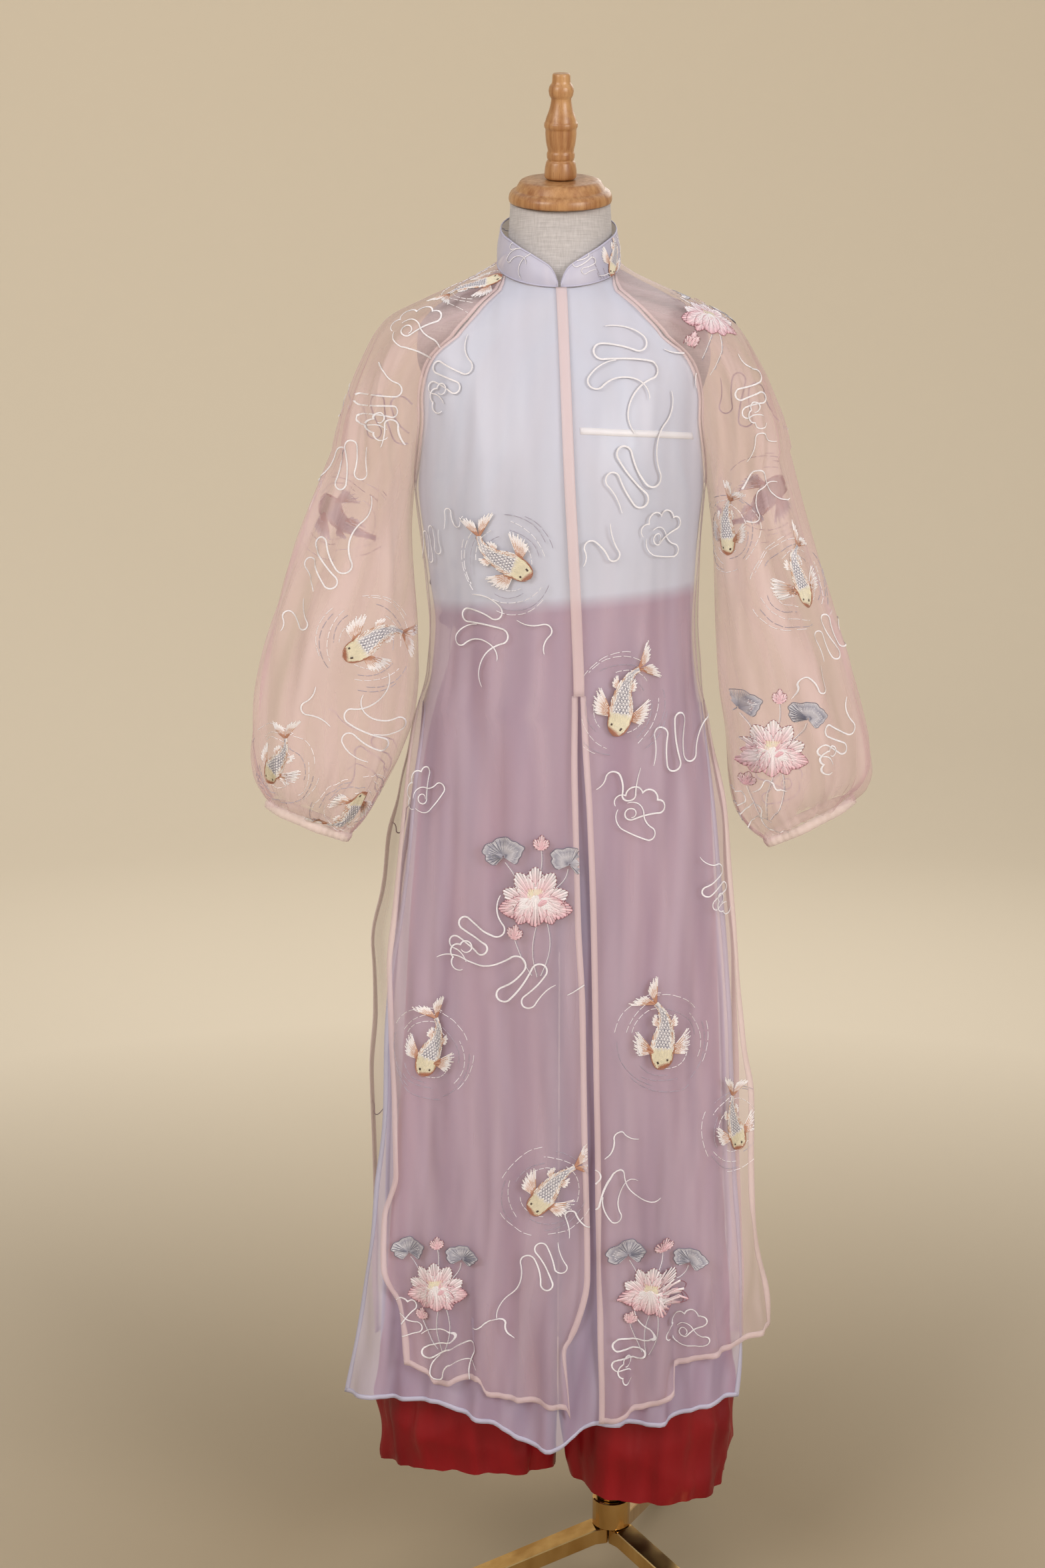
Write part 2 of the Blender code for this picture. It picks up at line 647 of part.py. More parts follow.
def head_line(side, level, columns):
    """A sleeve's line at a level above the underarm, with the robe's normals where it meets the raglan seams."""
    gap = HALF_GAP * (1 + RAGLAN_SLACK * smoothstep(abs(level - RAGLAN_MIDDLE) / RAGLAN_HALF))
    front = math.radians(RAGLAN.read("front", level)) + gap
    back = math.pi - math.radians(RAGLAN.read("back", level)) - gap
    angles = side * np.linspace(front, back, columns)
    on_body, normals = robe_row(angles, np.full(columns, level), outer_ease)
    middle = BODY.read("middle", level)
    outer = np.array([middle + side * SLEEVE_HEAD.read("out", level), 0.0, SLEEVE_HEAD.read("z", level)])
    depth = SLEEVE_HEAD.read("depth", level)
    loop = loop_line(on_body[0], on_body[-1], outer, depth, columns)
    return on_body + (loop - on_body) * smoothstep((NECK - level) / 0.06), normals


def tube_ends(tube, run):
    """The outer and the inner point of a sleeve's loop."""
    y = tube.read("y", run)
    return [np.array([tube.read(end + "_x", run), y, tube.read(end + "_z", run)]) for end in ("outer", "inner")]


def gather_wave(columns):
    return 0.5 - 0.5 * np.cos(np.linspace(0.0, 2 * math.pi * GATHERS, columns))


def tube_line(tube, run, columns):
    outer, inner = tube_ends(tube, run)
    wave = fold_wave(SLEEVE_FOLDS, run, columns)
    wave += GATHER_RISE * smoothstep((run - 0.72) / 0.2) * gather_wave(columns)
    return loop_line(inner, inner, outer, tube.read("depth", run), columns, wave)


def facing_out(rows, side):
    """Rows whose columns run the way round that makes their faces point out, with the normals to match."""
    return rows if side > 0 else [(points[::-1], normals[::-1]) for points, normals in rows]


def make_sleeve(name, side, tube, collection):
    columns = SLEEVE_COLUMNS
    heads = [head_line(side, level, columns) for level in YOKE_LEVELS[:-1]]
    lines = [points for points, _ in heads]
    lines += [tube_line(tube, run, columns) for run in SLEEVE_RUNS]
    joined = range(len(heads), len(lines))
    normals = side * grid_normals(lines, joined)
    for r, (_, on_body) in enumerate(heads):
        normals[r, 0] = on_body[0]
        normals[r, -1] = on_body[-1]
    rows = facing_out(list(zip(lines, normals)), side)
    return cloth(name, rows, "pink_organza", collection, joined=joined)


def make_cuff(name, side, tube, collection):
    """A narrow gathered band that carries on from the sleeve's last row, square to its opening."""
    outer, inner = tube_ends(tube, 1.0)
    depth = tube.read("depth", 1.0)
    wave = GATHER_RISE * gather_wave(SLEEVE_COLUMNS)
    along = unit(outer - inner)
    down = side * np.array([along[2], 0.0, -along[0]])
    lines = []
    for step, swell in ((SEAM, 0.0), (CUFF_HEIGHT / 2, CUFF_SWELL), (CUFF_HEIGHT, 0.0)):
        low = inner - along * swell + down * step
        high = outer + along * swell + down * step
        lines.append(loop_line(low, low, high, depth + swell, SLEEVE_COLUMNS, wave))
    rows = facing_out(list(zip(lines, side * grid_normals(lines, range(3)))), side)
    return cloth(name, rows, "pink_organza", collection, wall=CUFF_WALL, joined=range(3))


# Trousers


def leg_line(table, level, columns, run):
    front = table.read("front", level)
    back = table.read("back", level)
    depth = (front + back) / 2
    middle_y = (back - front) / 2
    half_open = depth * table.read("open", level)
    inner = table.read("inner", level)
    ends = [np.array([inner, middle_y + way * half_open, level]) for way in (-1, 1)]
    outer = np.array([table.read("outer", level), middle_y, level])
    return loop_line(ends[0], ends[1], outer, depth, columns, fold_wave(TROUSER_FOLDS, run, columns))


def make_leg(name, side, table, collection):
    hem = LEG_HEMS[side]
    levels = LEG_LEVELS + (hem["middle"],)
    turn = np.linspace(-math.pi, math.pi, LEG_COLUMNS)
    uneven = hem["outer"] * np.cos(turn) - hem["front"] * np.sin(turn)
    lines = []
    for level in levels:
        line = leg_line(table, level, LEG_COLUMNS, (TROUSERS_TOP - level) / (TROUSERS_TOP - hem["middle"]))
        line[:, 2] += uneven * smoothstep((LEG_HEM_BLEND - level) / (LEG_HEM_BLEND - hem["middle"]))
        lines.append(line)
    joined = [i for i, level in enumerate(levels) if level <= CROTCH]
    rows = facing_out(list(zip(lines, side * grid_normals(lines, joined))), side)
    return cloth(name, rows, "red_satin", collection, joined=joined)


def make_waistband(collection):
    """A band round the trousers' top edge."""
    angles = np.linspace(0.0, 2 * math.pi, BAND_COLUMNS)
    right = TROUSERS_RIGHT.read("outer", TROUSERS_TOP)
    left = TROUSERS_LEFT.read("outer", TROUSERS_TOP)
    front = TROUSERS_RIGHT.read("front", TROUSERS_TOP)
    back = TROUSERS_RIGHT.read("back", TROUSERS_TOP)
    x = (left + right) / 2 + (left - right) / 2 * np.sin(angles)
    y = (back - front) / 2 - (back + front) / 2 * np.cos(angles)
    lines = []
    for rise in (WAISTBAND_HEIGHT, WAISTBAND_FOOT):
        lines.append(np.stack([x, y, np.full(BAND_COLUMNS, TROUSERS_TOP + rise)], axis=-1))
    rows = list(zip(lines, grid_normals(lines, range(2))))
    return cloth("waistband", rows, "red_satin", collection, wall=BAND_WALL, joined=range(2))


# Collar and closure


def make_collar(collection):
    """A standing band, open at the centre front, with rounded ends."""
    near = np.array(COLLAR_STATIONS)
    angles = np.radians(np.concatenate([near, [180.0], 360.0 - near[::-1]]))
    from_front = np.degrees(np.minimum(angles, 2 * math.pi - angles))
    full = COLLAR.read("height", from_front)
    foot = robe_point(angles, np.full(len(angles), NECK), outer_ease)
    middle = np.array([BODY.read("middle", NECK), 0.0, 0.0])
    away = unit((foot - middle) * np.array([1.0, 1.0, 0.0]))
    lines = []
    for share in COLLAR_SHARES:
        rise = full * share
        out = 4 * share * (1 - share) * COLLAR_BOW - COLLAR_SLOPE * rise
        lines.append(foot + away * out[:, None] + np.outer(rise + COLLAR_REST, [0.0, 0.0, 1.0]))
    rows = [(line, away) for line in lines]
    return cloth("collar", rows, "lilac_organza", collection)


def placket_ease(level):
    return outer_ease(level) + PLACKET_PROUD


def make_placket(collection):
    """The strip that closes the centre front, laid on the two outer fronts."""
    rows = []
    for level in ROBE_LEVELS[ROBE_LEVELS >= CLOSURE_END]:
        x = CENTRE.read("right", level) + PLACKET_HALF_WIDTH * np.array([-1.0, 0.0, 1.0])
        rows.append(robe_row(angle_at(x, level), np.full(len(x), level), placket_ease))
    top, facing = rows[0]
    rows[0] = (top + (rows[1][0] - top) * PLACKET_LOWERED, facing)
    return cloth("front_placket", rows, "pink_organza", collection)


def no_ease(level):
    return np.zeros_like(level)


def make_robes(collection):
    """The five panels, each with its spans, its number of columns, its ease, its hem and its finish."""
    pieces = (
        ("outer_front_right", front_right_spans, 10, outer_ease, "outer", "pink_organza"),
        ("outer_front_left", front_left_spans, 11, outer_ease, "outer", "pink_organza"),
        ("outer_back", back_spans("outer"), 18, outer_ease, "outer_back", "pink_organza"),
        ("inner_front", front_spans, 19, no_ease, "inner", "lilac_organza"),
        ("inner_back", back_spans("inner"), 16, no_ease, "inner_back", "lilac_organza"),
    )
    for name, spans, columns, ease, hem, finish in pieces:
        cloth(name, panel_grid(spans, columns, ease, hem), finish, collection)


# The dress form and its stand


def make_form(collection):
    angles = np.linspace(0.0, 2 * math.pi, FORM_COLUMNS, endpoint=False)
    mesh = bmesh.new()
    rings = []
    for level in FORM.rows[:, 0]:
        half = FORM.read("half", level)
        depth = np.where(np.cos(angles) > 0, FORM.read("front", level), FORM.read("back", level))
        x = LEAN * max(0.0, NECK - level) + half * np.sin(angles)
        y = -depth * np.cos(angles)
        z = level - FORM.read("tilt", level) * np.cos(angles)
        rings.append([mesh.verts.new(p) for p in np.stack([x, y, z], axis=-1)])
    for low, high in zip(rings, rings[1:]):
        for c in range(FORM_COLUMNS):
            after = (c + 1) % FORM_COLUMNS
            mesh.faces.new((low[c], low[after], high[after], high[c]))
    mesh.faces.new(rings[0][::-1])
    mesh.faces.new(rings[-1])
    made = bpy.data.meshes.new("dress_form")
    mesh.to_mesh(made)
    mesh.free()
    return new_object("dress_form", made, "form_linen", collection)


def turned(name, profile, finish, segments, collection):
    """A solid turned about Z from its profile, which runs down the outer side."""
    mesh = bpy.data.meshes.new(name)
    mesh.from_pydata([(r, 0.0, z) for r, z in profile], [(i, i + 1) for i in range(len(profile) - 1)], [])
    made = new_object(name, mesh, finish, collection)
    screw = made.modifiers.new("Turn", "SCREW")
    screw.steps = segments
    screw.render_steps = segments
    screw.use_merge_vertices = True
    screw.merge_threshold = HAIR / 2
    screw.use_smooth_shade = True
    return made


def make_neck_wood(collection):
    cap = turned("neck_cap", CAP_PROFILE, "turned_wood", CAP_FLATS, collection)
    up = np.array([0.0, -math.sin(NECK_TILT), math.cos(NECK_TILT)])
    foot = np.array([0.0, 0.0, NECK_TOP]) + up * STAND_GAP
    cap.location = foot
    cap.rotation_euler = (NECK_TILT, 0.0, 0.0)
    finial = turned("neck_finial", FINIAL_PROFILE, "turned_wood", FINIAL_FLATS, collection)
    finial.location = foot + up * (CAP_PROFILE[0][1] + STAND_GAP)
    finial.rotation_euler = (NECK_TILT, 0.0, 0.0)


def pole_x(z):
    return LEAN * (NECK - z)


def make_stand(collection):
    hub_x = pole_x(HUB_TOP)
    underside = FORM.rows[0][0]
    slope = math.atan(-LEAN)
    rim = POLE_RADIUS * abs(math.sin(slope)) + STAND_GAP
    length = (underside - HUB_TOP - 2 * rim) / math.cos(slope)
    profile = ((0.0, length), (POLE_RADIUS, length), (POLE_RADIUS, 0.0), (0.0, 0.0))
    pole = turned("pole", profile, "gold_metal", POLE_FLATS, collection)
    pole.location = (pole_x(HUB_TOP + rim), 0.0, HUB_TOP + rim)
    pole.rotation_euler = (0.0, slope, 0.0)
    height = HUB_TOP - HUB_FOOT - STAND_GAP
    profile = (
        (0.0, height),
        (HUB_RADIUS - HUB_EDGE, height),
        (HUB_RADIUS, height - HUB_EDGE),
        (HUB_RADIUS, HUB_EDGE),
        (HUB_RADIUS - HUB_EDGE, 0.0),
        (0.0, 0.0),
    )
    hub = turned("hub", profile, "gold_metal", HUB_FLATS, collection)
    hub.location = (hub_x, 0.0, HUB_FOOT + STAND_GAP)
    for number, heading in enumerate(LEG_HEADINGS, 1):
        make_base_leg(number, math.radians(heading), hub_x, collection)


def make_base_leg(number, heading, hub_x, collection):
    """A square arm, cut at its inner end to meet the other two, that slopes down to a round foot."""
    end_top = FOOT_HEIGHT + STAND_GAP + LEG_HEIGHT
    stations = (
        (-HUB_RADIUS / 2, HUB_FOOT),
        (HUB_RADIUS, HUB_FOOT),
        (LEG_REACH - LEG_FLAT_END, end_top),
        (LEG_REACH, end_top),
    )
    half = LEG_WIDTH / 2
    corners = ((-half, -LEG_HEIGHT), (half, -LEG_HEIGHT), (half, 0.0), (-half, 0.0))
    mesh = bmesh.new()
    rings = [[mesh.verts.new((at, y, top + z)) for y, z in corners] for at, top in stations]
    for first, second in zip(rings, rings[1:]):
        for c in range(4):
            after = (c + 1) % 4
            mesh.faces.new((first[c], first[after], second[after], second[c]))
    mesh.faces.new(rings[0][::-1])
    mesh.faces.new(rings[-1])
    third = math.radians(60.0)
    for way in (-1, 1):
        away = (-math.sin(third), way * math.cos(third), 0.0)
        everything = mesh.verts[:] + mesh.edges[:] + mesh.faces[:]
        at = (2 * STAND_GAP, 0.0, 0.0)
        cut = bmesh.ops.bisect_plane(mesh, geom=everything, plane_co=at, plane_no=away, clear_outer=True)
        rim = [item for item in cut["geom_cut"] if isinstance(item, bmesh.types.BMEdge)]
        bmesh.ops.edgeloop_fill(mesh, edges=rim)
    bmesh.ops.recalc_face_normals(mesh, faces=mesh.faces[:])
    made = bpy.data.meshes.new(f"base_leg_{number}")
    mesh.to_mesh(made)
    mesh.free()
    leg = new_object(f"base_leg_{number}", made, "gold_metal", collection)
    leg.location = (hub_x, 0.0, 0.0)
    leg.rotation_euler = (0.0, 0.0, heading)
    bevel = leg.modifiers.new("Edges", "BEVEL")
    bevel.width = LEG_BEVEL
    bevel.segments = 1
    bevel.limit_method = "ANGLE"
    foot_at = LEG_REACH - FOOT_INSET
    profile = ((0.0, FOOT_HEIGHT), (FOOT_RADIUS * FOOT_TAPER, FOOT_HEIGHT), (FOOT_RADIUS, 0.0), (0.0, 0.0))
    foot = turned(f"foot_{number}", profile, "black_rubber", FOOT_FLATS, collection)
    foot.location = (hub_x + foot_at * math.cos(heading), foot_at * math.sin(heading), 0.0)


def centre_on_footprint(collection):
    """Moves everything so that the origin is the middle of the box on the floor."""
    bpy.context.view_layer.update()
    graph = bpy.context.evaluated_depsgraph_get()
    points = []
    for made in collection.objects:
        shape = made.evaluated_get(graph)
        points += [shape.matrix_world @ v.co for v in shape.data.vertices]
    points = np.array(points)
    shift = (points.min(0) + points.max(0)) / 2
    for made in collection.objects:
        made.location.x -= shift[0]
        made.location.y -= shift[1]
    print("footprint centre moved by", np.round(shift[:2], 5))


def main():
    for old in list(bpy.data.objects):
        bpy.data.objects.remove(old)
    collection = bpy.data.collections.new("Ao dai on dress form")
    bpy.context.scene.collection.children.link(collection)
    make_robes(collection)
    make_placket(collection)
    make_sleeve("sleeve_right", -1, SLEEVE_RIGHT, collection)
    make_sleeve("sleeve_left", 1, SLEEVE_LEFT, collection)
    make_cuff("cuff_right", -1, SLEEVE_RIGHT, collection)
    make_cuff("cuff_left", 1, SLEEVE_LEFT, collection)
    make_collar(collection)
    make_leg("trouser_leg_right", -1, TROUSERS_RIGHT, collection)
    make_leg("trouser_leg_left", 1, TROUSERS_LEFT, collection)
    make_waistband(collection)
    make_form(collection)
    make_neck_wood(collection)
    make_stand(collection)
    centre_on_footprint(collection)


main()
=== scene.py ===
"""The looks of an ao dai on a dress form: sheer cloth, hems, embroidery, wood, linen and metal.
Metres, +Z up. Shapes are worked out in the neck frame, whose Z axis runs through the middle of the neck,
and are then moved into the part's frame."""

import math

import bpy
import numpy as np
from mathutils import Euler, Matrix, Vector


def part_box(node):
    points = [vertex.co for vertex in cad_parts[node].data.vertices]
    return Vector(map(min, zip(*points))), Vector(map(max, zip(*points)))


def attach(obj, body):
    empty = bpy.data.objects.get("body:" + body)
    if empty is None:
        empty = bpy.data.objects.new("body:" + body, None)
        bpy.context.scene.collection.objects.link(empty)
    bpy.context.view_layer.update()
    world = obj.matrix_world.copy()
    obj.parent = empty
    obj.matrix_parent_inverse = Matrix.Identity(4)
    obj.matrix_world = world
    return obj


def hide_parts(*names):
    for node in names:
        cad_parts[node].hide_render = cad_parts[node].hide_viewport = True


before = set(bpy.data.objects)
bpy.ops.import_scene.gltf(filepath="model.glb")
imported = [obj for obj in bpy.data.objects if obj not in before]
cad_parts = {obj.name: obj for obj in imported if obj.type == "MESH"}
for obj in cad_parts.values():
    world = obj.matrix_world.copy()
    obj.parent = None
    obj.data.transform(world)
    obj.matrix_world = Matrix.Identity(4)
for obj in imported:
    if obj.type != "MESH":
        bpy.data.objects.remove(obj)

# Sizes of the part, the same as in its own source
CLOTH = 0.0012
SEAM = 0.0008
TYPICAL_DEPTH = 0.11
HALF_GAP = 0.5 * SEAM / TYPICAL_DEPTH
RAGLAN_SLACK = 3.0
RAGLAN_MIDDLE = 1.60
RAGLAN_HALF = 0.10
EASE_AT_NECK = 0.0020
EASE_AT_HEM = 0.0090

NECK = 1.7125
UNDERARM = 1.455
SLIT_TOP = 1.20
CLOSURE_END = 1.226
HEM_BLEND = 0.80
LOWEST_LEVEL = 0.30
# The form leans a little to the wearer's right, so its pole meets the base off the neck's line.
LEAN = 0.046
HUB_TOP = 0.160
NECK_TILT = math.radians(15.0)

HAIR = 1e-4


class Table:
    """Named columns of sizes, read on a smooth curve at any value of the first column."""

    def __init__(self, names, *rows):
        self.names = names.split()
        self.rows = np.array(sorted(rows), float)

    def read(self, name, at):
        x = self.rows[:, 0]
        y = self.rows[:, self.names.index(name)]
        at = np.clip(at, x[0], x[-1])
        i = np.clip(np.searchsorted(x, at) - 1, 0, len(x) - 2)
        step = np.diff(x)
        rise = np.diff(y) / step
        same = rise[:-1] * rise[1:] > 0
        total = np.where(same, rise[:-1] + rise[1:], 1.0)
        inner = np.where(same, 2 * rise[:-1] * rise[1:] / total, 0.0)
        slope = np.concatenate([rise[:1], inner, rise[-1:]])
        t = (at - x[i]) / step[i]
        ends = (1 + 2 * t) * (1 - t) ** 2 * y[i] + t * t * (3 - 2 * t) * y[i + 1]
        return ends + step[i] * t * (1 - t) * ((1 - t) * slope[i] - t * slope[i + 1])


# The under robe's outer face: a ring at each level, lower at the front by its tilt.
BODY = Table(
    "level middle half front back tilt",
    (1.7125, -0.002, 0.0695, 0.067, 0.061, 0.0275),
    (1.7, -0.003, 0.089, 0.073, 0.069, 0.0225),
    (1.685, -0.003, 0.123, 0.077, 0.077, 0.0175),
    (1.665, -0.002, 0.162, 0.081, 0.084, 0.0125),
    (1.64, -0.0015, 0.184, 0.087, 0.091, 0.008),
    (1.61, -0.001, 0.189, 0.097, 0.098, 0.005),
    (1.57, 0.0, 0.1805, 0.109, 0.103, 0.002),
    (1.53, 0.0005, 0.173, 0.119, 0.103, 0.0),
    (1.49, 0.001, 0.1695, 0.126, 0.101, 0.0),
    (1.455, 0.001, 0.168, 0.128, 0.099, 0.0),
    (1.4, 0.002, 0.162, 0.127, 0.097, 0.0),
    (1.35, 0.004, 0.157, 0.124, 0.096, 0.0),
    (1.3, 0.006, 0.1535, 0.121, 0.097, 0.0),
    (1.24, 0.0055, 0.158, 0.12, 0.101, 0.0),
    (1.2, 0.004, 0.166, 0.12, 0.104, 0.0),
    (1.12, 0.004, 0.19, 0.12, 0.11, 0.0),
    (1.04, 0.004, 0.212, 0.12, 0.116, 0.0),
    (0.95, 0.003, 0.23, 0.12, 0.12, 0.0),
    (0.86, 0.002, 0.244, 0.12, 0.123, 0.0),
    (0.75, 0.0, 0.258, 0.12, 0.125, 0.0),
    (0.66, -0.001, 0.268, 0.12, 0.126, 0.0),
    (0.53, -0.002, 0.282, 0.121, 0.128, 0.0),
    (0.43, -0.003, 0.292, 0.122, 0.13, 0.0),
    (0.28, -0.004, 0.302, 0.123, 0.132, 0.0),
)

# Where the raglan seams run on each ring, in degrees from the front and from the back.
RAGLAN = Table(
    "level front back",
    (1.7125, 64.0, 55.0),
    (1.7, 48.0, 44.0),
    (1.685, 41.0, 38.0),
    (1.665, 37.0, 36.0),
    (1.64, 39.5, 38.0),
    (1.615, 49.0, 46.0),
    (1.59, 56.7, 54.0),
    (1.565, 62.8, 60.0),
    (1.535, 66.5, 65.0),
    (1.505, 73.0, 72.0),
    (1.48, 80.0, 79.5),
    (1.455, 90.0, 90.0),
)

# How far each skirt panel reaches to the side below the slits, as x.
EDGES = Table(
    "level outer_front_right outer_front_left outer_back_right outer_back_left"
    " inner_front_right inner_front_left inner_back_right inner_back_left",
    (1.2, -0.162, 0.17, -0.162, 0.17, -0.162, 0.17, -0.162, 0.17),
    (1.13, -0.174, 0.185, -0.18, 0.185, -0.171, 0.18, -0.172, 0.18),
    (1.04, -0.187, 0.199, -0.203, 0.202, -0.18, 0.19, -0.188, 0.192),
    (0.95, -0.196, 0.207, -0.215, 0.211, -0.193, 0.198, -0.2, 0.2),
    (0.88, -0.202, 0.213, -0.228, 0.217, -0.205, 0.204, -0.206, 0.206),
    (0.8, -0.202, 0.221, -0.228, 0.223, -0.212, 0.21, -0.213, 0.212),
    (0.7, -0.199, 0.234, -0.234, 0.229, -0.215, 0.216, -0.218, 0.218),
    (0.6, -0.197, 0.237, -0.235, 0.233, -0.226, 0.222, -0.222, 0.222),
    (0.53, -0.212, 0.24, -0.236, 0.236, -0.231, 0.227, -0.225, 0.226),
    (0.45, -0.213, 0.25, -0.238, 0.24, -0.244, 0.232, -0.228, 0.23),
    (0.38, -0.196, 0.262, -0.239, 0.243, -0.254, 0.228, -0.23, 0.226),
    (0.3, -0.188, 0.268, -0.24, 0.245, -0.268, 0.225, -0.232, 0.226),
)

# The centre-front edges of the two outer fronts, as x.
CENTRE = Table(
    "level right left",
    (1.7125, 0.0, 0.0),
    (1.47, 0.009, 0.009),
    (1.4, 0.013, 0.013),
    (1.3, 0.018, 0.018),
    (1.226, 0.0205, 0.0215),
    (1.16, 0.02, 0.0245),
    (1.08, 0.0215, 0.0295),
    (0.96, 0.025, 0.0345),
    (0.85, 0.031, 0.037),
    (0.7, 0.034, 0.04),
    (0.5, 0.0385, 0.044),
    (0.43, 0.025, 0.046),
    (0.38, 0.01, 0.0465),
    (0.3, 0.016, 0.047),
)

# Hem heights across the front, and across the back.
HEMS = Table(
    "x outer inner outer_back inner_back",
    (-0.275, 0.398, 0.334, 0.35, 0.324),
    (-0.19, 0.396, 0.342, 0.34, 0.33),
    (-0.16, 0.384, 0.345, 0.336, 0.326),
    (-0.149, 0.371, 0.344, 0.334, 0.325),
    (-0.123, 0.379, 0.334, 0.331, 0.322),
    (-0.098, 0.384, 0.326, 0.33, 0.32),
    (-0.084, 0.362, 0.322, 0.332, 0.321),
    (-0.046, 0.358, 0.302, 0.337, 0.323),
    (-0.01, 0.355, 0.292, 0.336, 0.32),
    (0.006, 0.351, 0.294, 0.332, 0.318),
    (0.018, 0.33, 0.303, 0.33, 0.317),
    (0.047, 0.327, 0.322, 0.332, 0.32),
    (0.1, 0.343, 0.318, 0.338, 0.324),
    (0.136, 0.362, 0.322, 0.334, 0.32),
    (0.146, 0.394, 0.325, 0.333, 0.319),
    (0.21, 0.409, 0.339, 0.34, 0.322),
    (0.27, 0.424, 0.342, 0.35, 0.328),
)

# Hanging folds of both robes as (x at the top, x at the hem, height where it starts, width, rise).
FRONT_FOLDS = (
    (-0.15, -0.238, 0.95, 0.02, 0.012),
    (-0.11, -0.16, 1.05, 0.018, 0.009),
    (-0.06, -0.098, 0.9, 0.015, 0.011),
    (0.0, -0.018, 0.72, 0.024, 0.016),
    (0.06, 0.062, 1.1, 0.017, 0.008),
    (0.085, 0.128, 0.92, 0.016, 0.014),
    (0.12, 0.19, 1.0, 0.018, 0.01),
    (0.15, 0.238, 0.8, 0.014, 0.008),
)
BACK_FOLDS = (
    (-0.12, -0.19, 1.05, 0.024, 0.015),
    (-0.06, -0.11, 0.95, 0.02, 0.013),
    (-0.015, -0.03, 1.1, 0.022, 0.016),
    (0.035, 0.05, 0.9, 0.019, 0.012),
    (0.075, 0.122, 1.08, 0.023, 0.015),
    (0.12, 0.195, 0.92, 0.02, 0.012),
)

# Sleeve head: the highest line over the shoulder, from the neck to the underarm's level.
SLEEVE_HEAD = Table(
    "level out z depth",
    (1.7125, 0.0712, 1.7127, 0.034),
    (1.7, 0.098, 1.703, 0.048),
    (1.685, 0.13, 1.689, 0.061),
    (1.665, 0.166, 1.672, 0.07),
    (1.64, 0.199, 1.654, 0.075),
    (1.615, 0.216, 1.634, 0.078),
    (1.59, 0.228, 1.612, 0.079),
    (1.565, 0.24, 1.588, 0.079),
    (1.535, 0.251, 1.56, 0.078),
    (1.505, 0.259, 1.537, 0.075),
    (1.48, 0.264, 1.518, 0.072),
    (1.455, 0.268, 1.5, 0.07),
)

# Sleeve tubes from the underarm (0) to the cuff (1): outer and inner line seen from the front,
# half depth and place in y.
SLEEVE_RIGHT = Table(
    "run outer_x outer_z inner_x inner_z depth y",
    (0.0, -0.267, 1.5, -0.173, 1.455, 0.07, 0.0),
    (0.14, -0.294, 1.44, -0.176, 1.408, 0.067, -0.002),
    (0.3, -0.319, 1.372, -0.173, 1.352, 0.066, -0.006),
    (0.46, -0.34, 1.305, -0.169, 1.293, 0.069, -0.01),
    (0.6, -0.355, 1.248, -0.168, 1.242, 0.073, -0.013),
    (0.72, -0.364, 1.195, -0.1735, 1.19, 0.074, -0.015),
    (0.82, -0.366, 1.148, -0.191, 1.141, 0.07, -0.015),
    (0.9, -0.362, 1.115, -0.214, 1.098, 0.06, -0.014),
    (0.96, -0.354, 1.094, -0.237, 1.06, 0.043, -0.012),
    (1.0, -0.348, 1.083, -0.252, 1.043, 0.024, -0.01),
)
SLEEVE_LEFT = Table(
    "run outer_x outer_z inner_x inner_z depth y",
    (0.0, 0.266, 1.5, 0.1755, 1.455, 0.07, 0.0),
    (0.14, 0.285, 1.43, 0.183, 1.395, 0.067, -0.002),
    (0.3, 0.306, 1.368, 0.186, 1.335, 0.066, -0.006),
    (0.46, 0.327, 1.308, 0.188, 1.275, 0.069, -0.01),
    (0.6, 0.344, 1.258, 0.192, 1.22, 0.073, -0.013),
    (0.72, 0.359, 1.202, 0.2, 1.17, 0.074, -0.015),
    (0.82, 0.37, 1.158, 0.2055, 1.118, 0.07, -0.015),
    (0.9, 0.373, 1.126, 0.215, 1.076, 0.06, -0.014),
    (0.96, 0.366, 1.103, 0.232, 1.05, 0.043, -0.012),
    (1.0, 0.352, 1.088, 0.25, 1.036, 0.024, -0.01),
)
# Folds along a sleeve as (turn, width, rise, run where it starts)
SLEEVE_FOLDS = (
    (-2.2, 0.22, 0.0045, 0.0),
    (-1.25, 0.26, 0.006, 0.1),
    (-0.45, 0.2, 0.0045, 0.3),
    (0.55, 0.24, 0.005, 0.15),
    (1.5, 0.26, 0.006, 0.05),
    (2.35, 0.22, 0.0045, 0.25),
)
GATHERS = 7
GATHER_RISE = 0.0030
CUFF_HEIGHT = 0.013

# Trousers: each leg's outer, inner, front and back reach. Above the crotch a leg is open towards the other.
TROUSERS_RIGHT = Table(
    "level outer inner front back open",
    (1.306, -0.1205, 0.0175, 0.099, 0.09, 1.0),
    (1.25, -0.135, 0.012, 0.104, 0.096, 1.0),
    (1.2, -0.149, 0.01, 0.106, 0.099, 1.0),
    (1.12, -0.165, 0.0085, 0.104, 0.1, 1.0),
    (1.03, -0.174, 0.006, 0.1, 0.096, 0.92),
    (0.99, -0.177, 0.003, 0.097, 0.092, 0.55),
    (0.96, -0.18, 0.0005, 0.095, 0.089, 0.0),
    (0.8, -0.19, 0.001, 0.09, 0.086, 0.0),
    (0.6, -0.203, 0.001, 0.088, 0.086, 0.0),
    (0.4, -0.218, 0.0005, 0.087, 0.086, 0.0),
    (0.29, -0.225, 0.0005, 0.087, 0.085, 0.0),
    (0.21, -0.217, -0.002, 0.08, 0.078, 0.0),
)
